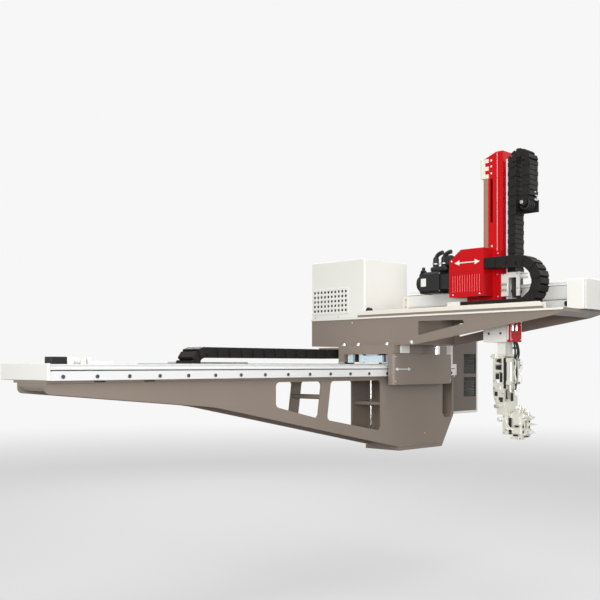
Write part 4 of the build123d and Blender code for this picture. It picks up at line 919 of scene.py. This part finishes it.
# %% Cabinet details
door_low, door_high = box_of("cabinet_door")
door_near, door_far = door_low[1], door_high[1]
outer, inner = rounded(281, 449, 12, 5), rounded(255, 423, 7, 5)
turns = len(outer)
rim_rings = [(inner, 0), (outer, 0), (outer, 11.5), (outer * 0.996, 12.5), (inner, 12.5)]
rim_points = np.concatenate([np.column_stack([xy, np.full(turns, z)]) for xy, z in rim_rings])
last = (len(rim_rings) - 1) * turns
closing = [[last + k, last + (k + 1) % turns, (k + 1) % turns, k] for k in range(turns)]
rim = (rim_points, ring_faces(len(rim_rings), turns)[:-2] + closing)
put("cabinet_rim", placed(rim, (461.5, door_far, 407.0), "-y"), "white_paint", "base", "bright_white_and_highlight")
lock = joined(turned([(13, 0), (13, 2.5), (11, 3.5)], 20), block(-3, 3, -8, 8, 3.4, 5.5, 0.5))
put("cabinet_lock", placed(lock, (345, door_near, 410), "-y"), "rail_steel", "base", "zinc")
hinge = turned([(5, 0), (6, 1), (6, 43), (5, 44)], 12)
hinge_places = grid(door_high[0], -98, (250, 520))
put("cabinet_hinges", many(hinge, hinge_places), "rail_steel", "base", "zinc")
gland = turned([(14, 0), (14, 7), (10, 8), (10, 18), (7, 20)], 12)
gland_places = [(x, y, 182) for x, y in ((350, -20), (390, -20), (430, -20), (350, 60), (400, 60))]
put("cabinet_glands", many(gland, gland_places, "-z"), "black_plastic", "base")

# %% [markdown]
# ## Kick carriage
# The red cover holds the arm's drive; its lower half has upright ribs, whose edges carry pale pink
# painted highlights. A plain white double arrow marks the direction of the kick axis. The black servo
# motor behind it has two round connectors with angled backs, and a blank white rating plate. Push-in air
# fittings sit beside the white stand of the arm's chain.


# %% Bent pipes and fittings
def bend(p0, p1, p2, p3, steps=14):
    """A cubic curve from p0 to p3: (1-t)^3 p0 + 3t(1-t)^2 p1 + 3t^2(1-t) p2 + t^3 p3."""
    t = np.linspace(0, 1, steps)[:, None]
    p0, p1, p2, p3 = (np.array(p, float) for p in (p0, p1, p2, p3))
    return (1 - t) ** 3 * p0 + 3 * t * (1 - t) ** 2 * p1 + 3 * t ** 2 * (1 - t) * p2 + t ** 3 * p3


def pipe(path, radius, sides=10):
    """A round profile carried along a path: path + r * (cos a * across + sin a * up)."""
    path = np.array(path, float)
    ahead = np.gradient(path, axis=0)
    ahead /= np.linalg.norm(ahead, axis=1)[:, None]
    upright = abs(ahead[:, 2]).mean() >= 0.8
    guide = np.array((0.94, 0.31, 0.17) if upright else (0.31, 0.17, 0.94))  # well away from the path
    across = np.cross(ahead, guide)
    across /= np.linalg.norm(across, axis=1)[:, None]
    up = np.cross(across, ahead)
    angle = np.arange(sides) * 2 * np.pi / sides
    ring = np.cos(angle)[None, :, None] * across[:, None, :] + np.sin(angle)[None, :, None] * up[:, None, :]
    points = path[:, None, :] + radius * ring
    return points.reshape(-1, 3), [f[::-1] for f in ring_faces(len(path), sides)]


def knurled(radius, height, teeth=18):
    """A knob whose radius steps between 0.96 and 1.04 of r, with a chamfer at each rim."""
    angle = np.arange(teeth * 2) * np.pi / teeth
    grip = radius * (1 + 0.04 * np.where(np.arange(teeth * 2) % 2, -1, 1))
    outline = np.column_stack([grip * np.cos(angle), grip * np.sin(angle)])
    return plate(outline, 0, height, radius * 0.12)


def fitting(size=1.0):
    """A push-in air fitting: hexagon, neck and release ring."""
    hexagon = [(6 * np.cos(a), 6 * np.sin(a)) for a in np.arange(6) * np.pi / 3]
    neck = turned([(4.6, 5), (4.6, 13), (5.6, 13.5), (5.6, 16), (3.0, 16.5)])
    points, faces = joined(plate(hexagon, 0, 5, 0.6), neck)
    return points * size, faces


def fittings(size, *places):
    """Air fittings as one shape, each at a point and facing a way."""
    return joined(*[placed(fitting(size), point, way) for point, way in places])


# %% Red cover
cover_left = box_of("drive_cover")[0][0]
arrow = placed(double_arrow(150, 5, 30, 26), (cover_left, -617, 989), "-x")
put("cover_arrow", arrow, "white_paint", "kick_carriage", "bright_white_and_highlight")
cover_dots = on_x(cover_left, (-690, 828), (-532, 828), (-524, 1000))
domes("cover_screws", (4.6, 2.4), cover_dots, "-x", "kick_carriage", "bright_metal")
# Pale pink bars on the rib edges are painted highlights.
rib_places = grid(cover_left + 0.4, np.linspace(-690, -532, 12), 0)
ribs = many(block(-1.6, 0, -1.1, 1.1, 840, 926, 0.4), rib_places)
put("cover_rib_highlights", ribs, "red_paint", "kick_carriage", "red_rib_highlight")
back_seam = block(-286, -200, -511.5, -509.4, 817, 818.4, 0.2)
rib_border = block(cover_left - 0.4, cover_left + 0.4, -690, -530, 941.0, 942.0, 0.1)
put("cover_seam", joined(back_seam, rib_border), "black_plastic", "kick_carriage", "black_and_painted_shade")


# %% Motor with its connectors
def motor_part(name, shape):
    """A black moulded part of a motor on the kick carriage."""
    put(name, shape, "black_paint", "kick_carriage", "black_plastic")


connector_places = grid(-237, (-392, -444), 962)
connector_scale = 1.32
plug = joined(
    block(-14, 14, -14, 14, 0, 10, 2),
    turned([(11, 10), (12.5, 11), (12.5, 24), (11, 25), (11, 30)], 18),
    placed(knurled(13.5, 9), (0, 0, 27)),
    turned([(12, 36), (12, 50), (8, 58)], 16),
)
back_shell = pipe(bend((0, 0, 46), (0, 0, 62), (0, -12, 72), (0, -34, 74)), 8.5, 12)
points, faces = joined(plug, back_shell)
motor_part("motor_connectors", many((points * connector_scale, faces), connector_places))
collar = turned([(19.5, 36), (20.4, 37), (20.4, 41), (19.5, 42)], 20)
put("connector_rings", many(collar, connector_places), "rail_steel", "kick_carriage", "zinc")
small_plug = joined(block(-14, 14, -11, 11, 0, 14, 3), turned([(8, 14), (9, 15), (9, 26), (6, 30)], 14))
motor_part("motor_small_plug", placed(small_plug, (-240, -314, 960)))
junction = joined(block(-264, -212, -474, -372, 960, 986, 6), block(-258, -216, -500, -460, 984, 1040, 8))
motor_part("motor_junction_box", junction)
bands = [(-287, -185, y, y + 4, 846, 964) for y in (-330, -443)]
motor_part("motor_band", blocks(8, *bands))
gear_bolts = grid((-278, -194), -440.0, (857, 949))
screws("motor_bolts", (4.5, 5.0), gear_bolts, "-y", "kick_carriage")
put("motor_plate", block(-287.0, -285.9, -363, -331, 883, 925, 0.3), "white_plastic", "kick_carriage")
kick_bolts = grid(133.0, (-633, -577), (893, 950))
screws("kick_motor_bolts", (3.5, 4.0), kick_bolts, "+x", "kick_carriage")
round_plug = placed(turned([(9, 0), (10, 1), (10, 14), (7, 18)], 14), (185, -605, 962))
motor_part("kick_motor_connector", joined(block(170, 200, -618, -592, 952, 962, 2), round_plug))

# %% Air fittings and the chain's stand
stand_left = box_of("chain_bracket")[0][0]
hose_x = (-187, -172, -157, -142, -127)
stand_hoses = [pipe([(x, -822, 806), (x, -820, 860), (x, -816, 936)], 6.8) for x in hose_x]
put("stand_hoses", joined(*stand_hoses), "black_plastic", "kick_carriage")
put("stand_hose_clamp", block(-194, -119, -832, -811, 830, 846, 2), "black_plastic", "kick_carriage")
put("stand_beam", block(-199.4, -113.6, -861.6, -761, 905, 917), "white_paint", "kick_carriage")
stand_fittings = on_x(stand_left, (-772, 872), (-788, 872), (-772, 846), (-788, 846))
put("stand_fittings", many(fitting(), stand_fittings, "-x"), "bright_metal", "kick_carriage", "zinc")
put("fitting_pad", block(-203, -199, -798, -762, 836, 884, 1), "aluminium", "kick_carriage")
stand_dots = on_x(stand_left, (-850, 922), (-772, 922), (-852, 850))
screws("stand_screws", (4.0, 4.0), stand_dots, "-x", "kick_carriage")
wall_dots = on_x(stand_left, (-740, 1030), (-740, 815), (-738, 925))
domes("housing_screws", (4.5, 2.4), wall_dots, "-x", "kick_carriage", finish_name="zinc")

# %% [markdown]
# ## Arm
# The red profile carries a toothed belt along its back edge. The belt is tan, and its back is ribbed
# across. A cream clamp of three fingers holds the belt, with three cream screws beside it, and a cream
# strip closes the sloping top corner. A thin white line down the side is a painted highlight on the
# edge of a groove.

# %% Arm details
belt_left = box_of("arm_belt")[0][0]
arm_side = -187.0
rib_places = grid(0, 0, np.arange(716, 1412, 8.0))
ribs = many(block(-190.45, -190.1, -678.5, -652.5, 0, 3.6, 0.1), rib_places)
put("belt_ribs", ribs, "cream_rubber", "arm_outer")
clamp_dots = grid(arm_side, -695, (1505, 1475, 1440))
domes("arm_screws", (5.5, 3.0), clamp_dots, "-x", "arm_outer", "cream_paint")
domes("arm_side_screw", (5.0, 2.6), grid(arm_side, -699, 1072), "-x", "arm_outer", "white_plastic")
clamp_screws = grid((-172, -128), -637.0, (1432, 1466, 1500))
screws("belt_clamp_screws", (5.0, 1.5), clamp_screws, "+y", "arm_outer")
skin = (belt_left - 0.5, belt_left + 0.2)
spine = (*skin, -662, -636.7, 1416.8, 1515.2)
back = (belt_left - 0.5, -109.8, -638, -636.7, 1416.8, 1515.2)
fingers = [(*skin, -682.2, -661, z, z + 20) for z in (1417, 1456, 1495)]
put("belt_clamp_face", blocks(0.1, spine, back, *fingers), "cream_paint", "arm_outer")
# A thin white strip down the side is a painted highlight on the edge of a groove.
edge_highlight = block(-189.1, -188.2, -731.2, -729.4, 702, 1541, 0.3)
put("arm_edge_highlight", edge_highlight, "white_paint", "arm_outer", "bright_white_and_highlight")
slope = [(-716, 1541.0), (-653, 1515.6), (-653, 1517.6), (-716, 1543.0)]
put("arm_top_strip", side_wall(slope, -103.0, 83.0), "cream_paint", "arm_outer")
low_edge = block(-188.0, -102.0, -762.6, -651.4, 690.4, 694.0, 0.6)
put("arm_low_edge", low_edge, "red_paint", "arm_outer")
guide_dots = along((arm_side, -744.0, 760.0), (arm_side, -744.0, 1500.0), 185.0)
domes("arm_edge_screws", (3.6, 1.8), guide_dots, "-x", "arm_outer", "red_paint")

# %% Foot of the arm
foot_left = box_of("arm_foot")[0][0]
clamp_low, clamp_high = box_of("arm_clamp")
foot_dots = grid(foot_left, (-690, -757), 630)
screws("foot_plate_screws", (6.0, 4.0), foot_dots, "-x", "arm_inner", "dark_steel")
clamp_front = grid((-183, -100), clamp_low[1], (600, 672))
screws("arm_clamp_screws", (4.5, 4.0), clamp_front, "-y", "arm_inner")
# A white strip on the clamp's left front corner is a painted highlight.
highlight_sides = (clamp_low[0] + 0.4, clamp_low[0] + 4.6, clamp_low[1] - 0.5, clamp_low[1] + 0.5)
clamp_highlight = block(*highlight_sides, clamp_low[2] + 5, clamp_high[2] - 16, 0.2)
put("clamp_corner_highlight", clamp_highlight, "white_paint", "arm_inner", "bright_white_and_highlight")
# White upright blocks at both sides of the clamp are painted highlights.
side_highlights = blocks(1, (-201, -193, -800, -792, 598, 668), (-83, -76, -788, -760, 596, 668))
put("foot_side_highlights", side_highlights, "white_plastic", "arm_inner")

# %% End of the lift chain: cover, connectors and hoses
end_cover = block(-112.0, -105.4, -916.3, -768.0, end_z - 0.3, end_z + 60.3, 0.3)
put("lift_end_cover", end_cover, "black_plastic", "arm_inner")
plugs = (
    (-150, -137, -919, -911, 1318, 1326),
    (-142, -120, -919, -911, 1302, 1309),
    (-148, -118, -919, -909, 1280, 1291),
    (-200, -195, -880, -864, 1262, 1280),
)
put("chain_end_plugs", blocks(1.5, *plugs), "white_plastic", "arm_inner", "zinc")
hooks = []
for x in (-182, -164, -146, -128):
    hooks.append(pipe(bend((x, -900, 1280), (x, -916, 1246), (x, -876, 1220), (x, -860, 1256), 12), 5.0))
put("chain_end_hoses", joined(*hooks), "black_plastic", "arm_inner")

# %% [markdown]
# ## Wrist
# Below the arm hangs a crowded stack of aluminium plates, two air cylinders, valves, fittings and short
# bent pipes. Their number matters more than any one of them: many small bright edges are what the eye
# reads there.

# %% Hoses down to the wrist
runs = [
    pipe(bend((-152, -800, 596), (-154, -812, 560), (-158, -818, 540), (-150, -806, 506)), 4.6),
    pipe(bend((-138, -800, 596), (-138, -814, 566), (-132, -822, 540), (-138, -806, 508)), 4.6),
    pipe(bend((-122, -798, 596), (-118, -812, 560), (-128, -824, 530), (-120, -808, 506)), 4.2),
    pipe(bend((-141.5, -809, 506), (-141.5, -816, 470), (-141.5, -816, 390), (-141.5, -806, 346)), 4.0),
]
put("wrist_hoses", joined(*runs), "black_plastic", "arm_inner")
put("hose_clip", block(-160, -122, -816, -800, 552, 562, 2), "black_plastic", "arm_inner")

# %% Wrist plates, cylinders and pipes
wrist_left, wrist_right = -184.0, -92.0
cylinder_x, cylinder_y = (-164.5, -118.5), -790
shared_dots = ((-709, 516), (-763, 516), (-709, 392), (-763, 380))
left_dots = on_x(wrist_left, *shared_dots, (-711, 340), (-762, 330), (-716, 300), (-764, 306))
screws("wrist_plate_screws", (3.6, 3.0), left_dots, "-x", "arm_inner")
right_dots = on_x(wrist_right, *shared_dots, (-711, 376))
screws("wrist_far_screws", (3.6, 3.0), right_dots, "+x", "arm_inner")
rings = (
    ([(13, 0), (14.5, 1.5), (14.5, 9), (13, 10.5)], 18, 420),
    ([(13, 0), (14.5, 1.5), (14.5, 7), (13, 8.5)], 18, 455),
    ([(8, 0), (9, 1), (9, 8), (5, 9)], 14, 339),
)
collars, ports, loops = [], [], []
for x, side in zip(cylinder_x, (-10, 8)):
    collars += [placed(turned(profile, steps), (x, cylinder_y, z)) for profile, steps, z in rings]
    ports += [(x, -807, 497), (x, -807, 382)]
    bulge, low_end, high_end = x + side, x + side * 0.6, x - side * 0.5
    upper = bend((x, -819, 497), (bulge, -830, 494), (bulge, -830, 450), (low_end, -812, 436))
    lower = bend((x, -819, 382), (bulge, -832, 386), (bulge, -828, 424), (high_end, -808, 430))
    loops += [pipe(upper, 3.0), pipe(lower, 3.0)]
put("cylinder_rings", joined(*collars), "bright_metal", "arm_inner")
put("cylinder_fittings", many(fitting(0.8), ports, "-y"), "bright_metal", "arm_inner", "zinc")
put("wrist_air_pipes", joined(*loops), "white_plastic", "arm_inner")
valves = []
for z in np.arange(436, 496, 15):
    valves.append(block(-172, -150, -724, -703, z, z + 12, 1))
    valves.append(block(-146, -128, -722, -706, z + 1, z + 11, 1))
    valves.append(placed(turned([(3, 0), (3.4, 0.6), (3.4, 5), (2, 6)], 10), (-161, -703, z + 6), "+y"))
put("wrist_valves", joined(*valves), "aluminium", "arm_inner", "zinc")
rails = blocks(0.8, (-184.8, -178, -756, -714, 437, 446), (-184.8, -178, -756, -714, 474, 480))
brackets = blocks(
    1.2,
    (-196, -184, -726, -700, 505, 526),
    (-98, -80, -770, -742, 398, 420),
    (-190, -184, -748, -706, 346, 366),
)
front_bar = block(-150, -126, -810, -804, 400, 470, 1.0)
put("wrist_cross_bars", joined(rails, brackets, front_bar), "aluminium", "arm_inner")
knobs = joined(
    placed(knurled(9.5, 17), (wrist_left, -727, 265), "-x"),
    placed(knurled(6.5, 11), (wrist_left, -716, 356), "-x"),
    placed(turned([(4, 0), (4, 22), (3, 23)], 10), (-160, -699, 516), "+y"),
)
put("wrist_knobs", knobs, "bright_metal", "arm_inner", "zinc")
bowl = turned([(6, 0), (12, 3), (12, 32), (8, 36), (8, 43), (5, 46)], 18)
air_filter = joined(placed(bowl, (-82, -786, 452)), block(-92, -82, -790, -776, 482, 494, 1))
put("air_filter", air_filter, "white_plastic", "arm_inner", "blue_glass")
side_fittings = fittings(
    0.7,
    ((-80, -792, 470), "-y"),
    ((-70, -783, 486), "+x"),
    ((-70, -737, 340), "+x"),
    ((-62, -737, 300), "+x"),
)
put("wrist_side_fittings", side_fittings, "bright_metal", "arm_inner", "brass")

# %% [markdown]
# ## Gripper
# The gripper head is turned by the flip cylinder. Plates, screws, pins, a coiled pipe and guard loops
# cover it on all sides, and each jaw carries a strip with two screws.

# %% Gripper details
head_left, head_front = -188.0, -868.0
front_dots = grid((-174, -115), head_front, (124, 152, 180, 208))
screws("gripper_front_screws", (4.0, 4.0), front_dots, "-y", "gripper")
side_dots = on_x(head_left, (-798, 136), (-770, 136), (-798, 216), (-770, 216), (-784, 176))
screws("gripper_side_screws", (3.8, 3.4), side_dots, "-x", "gripper")
large = blocks(
    1.2,
    (-188.5, -182, -862, -812, 132, 160),
    (-188.5, -182, -858, -820, 176, 214),
    (-107, -99, -860, -812, 128, 168),
    (-107, -97, -852, -818, 184, 226),
    (-176, -160, -850, -826, 236, 252),
    (-132, -112, -846, -814, 236, 246),
    (-196, -188, -792, -774, 150, 202),
    (-168, -120, -762, -748, 132, 168),
)
small = blocks(1.0, (-182, -168, -826, -800, 104, 113), (-140, -112, -840, -812, 100, 113))
put("gripper_blocks", joined(large, small), "aluminium", "gripper")
pins = joined(
    placed(turned([(5, 0), (5, 14), (3.5, 15), (3.5, 22), (1.6, 30)]), (-170, head_front, 214), "-y"),
    placed(turned([(5, 0), (5, 10), (3.5, 11), (3.5, 20), (1.6, 30)]), (-118, head_front, 138), "-y"),
    placed(turned([(4.5, 0), (4.5, 18), (3, 20)]), (-152, -838, 252)),
    placed(turned([(3.6, 0), (3.6, 26), (2, 28)], 10), (-125, -828, 246)),
    placed(turned([(6, 0), (6, 12), (4, 14)]), (-150, -826, 112), "-z"),
)
put("gripper_pins", pins, "bright_metal", "gripper")
side_shaft = turned([(5, 0), (5, 36), (10, 37), (11, 39), (11, 54), (8, 57)], 16)
knobs = joined(placed(knurled(8.0, 22), (-150, -760, 193), "+y"), placed(side_shaft, (-150, -751, 200), "-x"))
put("gripper_knobs", knobs, "bright_metal", "gripper", "aluminium")
guard = pipe(bend((-158, -856, 234), (-158, -858, 268), (-158, -894, 266), (-158, -888, 222), 18), 3.2)
hook = pipe(bend((-128, -812, 228), (-128, -800, 262), (-128, -846, 268), (-128, -852, 236), 16), 3.0)
turn = np.linspace(0, 4.4 * np.pi, 44)
coil = np.column_stack([-150 + 22 * np.cos(turn), -838 - 17 * np.sin(turn), 238 + 1.4 * turn])
put("gripper_guard", joined(guard, hook, pipe(coil, 2.4, 8)), "bright_metal", "gripper", "aluminium")
air_pipe = pipe(bend((-188, -776, 216), (-202, -778, 190), (-200, -812, 150), (-184, -824, 146), 16), 3.0)
put("gripper_air_pipe", air_pipe, "white_plastic", "gripper")
head_fittings = fittings(
    0.75,
    ((-184, -830, 168), "-x"),
    ((-188, -784, 150), "-x"),
    ((-99, -836, 150), "+x"),
    ((-130, -780, 228), "+z"),
    ((-160, -786, 228), "+z"),
)
put("gripper_fittings", head_fittings, "bright_metal", "gripper", "zinc")
for jaw_name, body in (("jaw_upper", "upper_jaw"), ("jaw_lower", "lower_jaw")):
    low, high = box_of(jaw_name)
    middle = (low[2] + high[2]) / 2
    heads = many(screw_head(3.4, 3.0), grid((-160, -129), -884.0, middle), "-y")
    bar = block(-157, -132, -889, -884, middle - 11, middle + 11, 1.0)
    put(jaw_name + "_screws", joined(heads, bar), "rail_steel", body, "zinc")

# %% [markdown]
# ### Painted shade in the deep gaps between the plates
# Thin dark patches of painted shade stand for the gaps between the wrist's plates and between the gripper's.

# %% Painted shade in the deep gaps
# Painted shade on the wrist's left plate and in its slits.
left_patches = (
    (-752, -722, 449, 471),
    (-748, -726, 486, 502),
    (-740, -720, 400, 430),
    (-758, -742, 386, 432),
    (-730, -712, 316, 338),
    (-760, -736, 286, 310),
)
wrist_shade_patches = [(wrist_left - 0.7, wrist_left + 0.2, *patch) for patch in left_patches]
slits = (
    (-146, -136, -808.4, -806, 352, 512),
    (-184.7, -179, -776, -764, 354, 508),
    (-176, -168, -776.5, -773, 300, 346),
    (-130, -112, -776.5, -773, 286, 330),
)
put("wrist_painted_shade", blocks(0.2, *wrist_shade_patches, *slits), "black_plastic", "arm_inner", "black_and_painted_shade")
# Painted shade on the gripper's side and front.
side_patches = ((-812, -794, 162, 210), (-848, -820, 120, 129), (-812, -796, 128, 150))
on_side = [(head_left - 0.7, head_left + 0.2, *patch) for patch in side_patches]
on_block = (head_left - 1.2, head_left - 0.3, -852, -828, 164, 173)
front_patches = ((-180, -169, 134, 146), (-120, -110, 158, 170), (-181, -168, 160, 174))
front_patches += ((-120, -108, 186, 200), (-164, -122, 114, 120))
on_front = [(x0, x1, head_front - 0.7, head_front + 0.2, z0, z1) for x0, x1, z0, z1 in front_patches]
gripper_shade_patches = blocks(0.2, *on_side, on_block, *on_front)
put("gripper_painted_shade", gripper_shade_patches, "black_plastic", "gripper", "black_and_painted_shade")
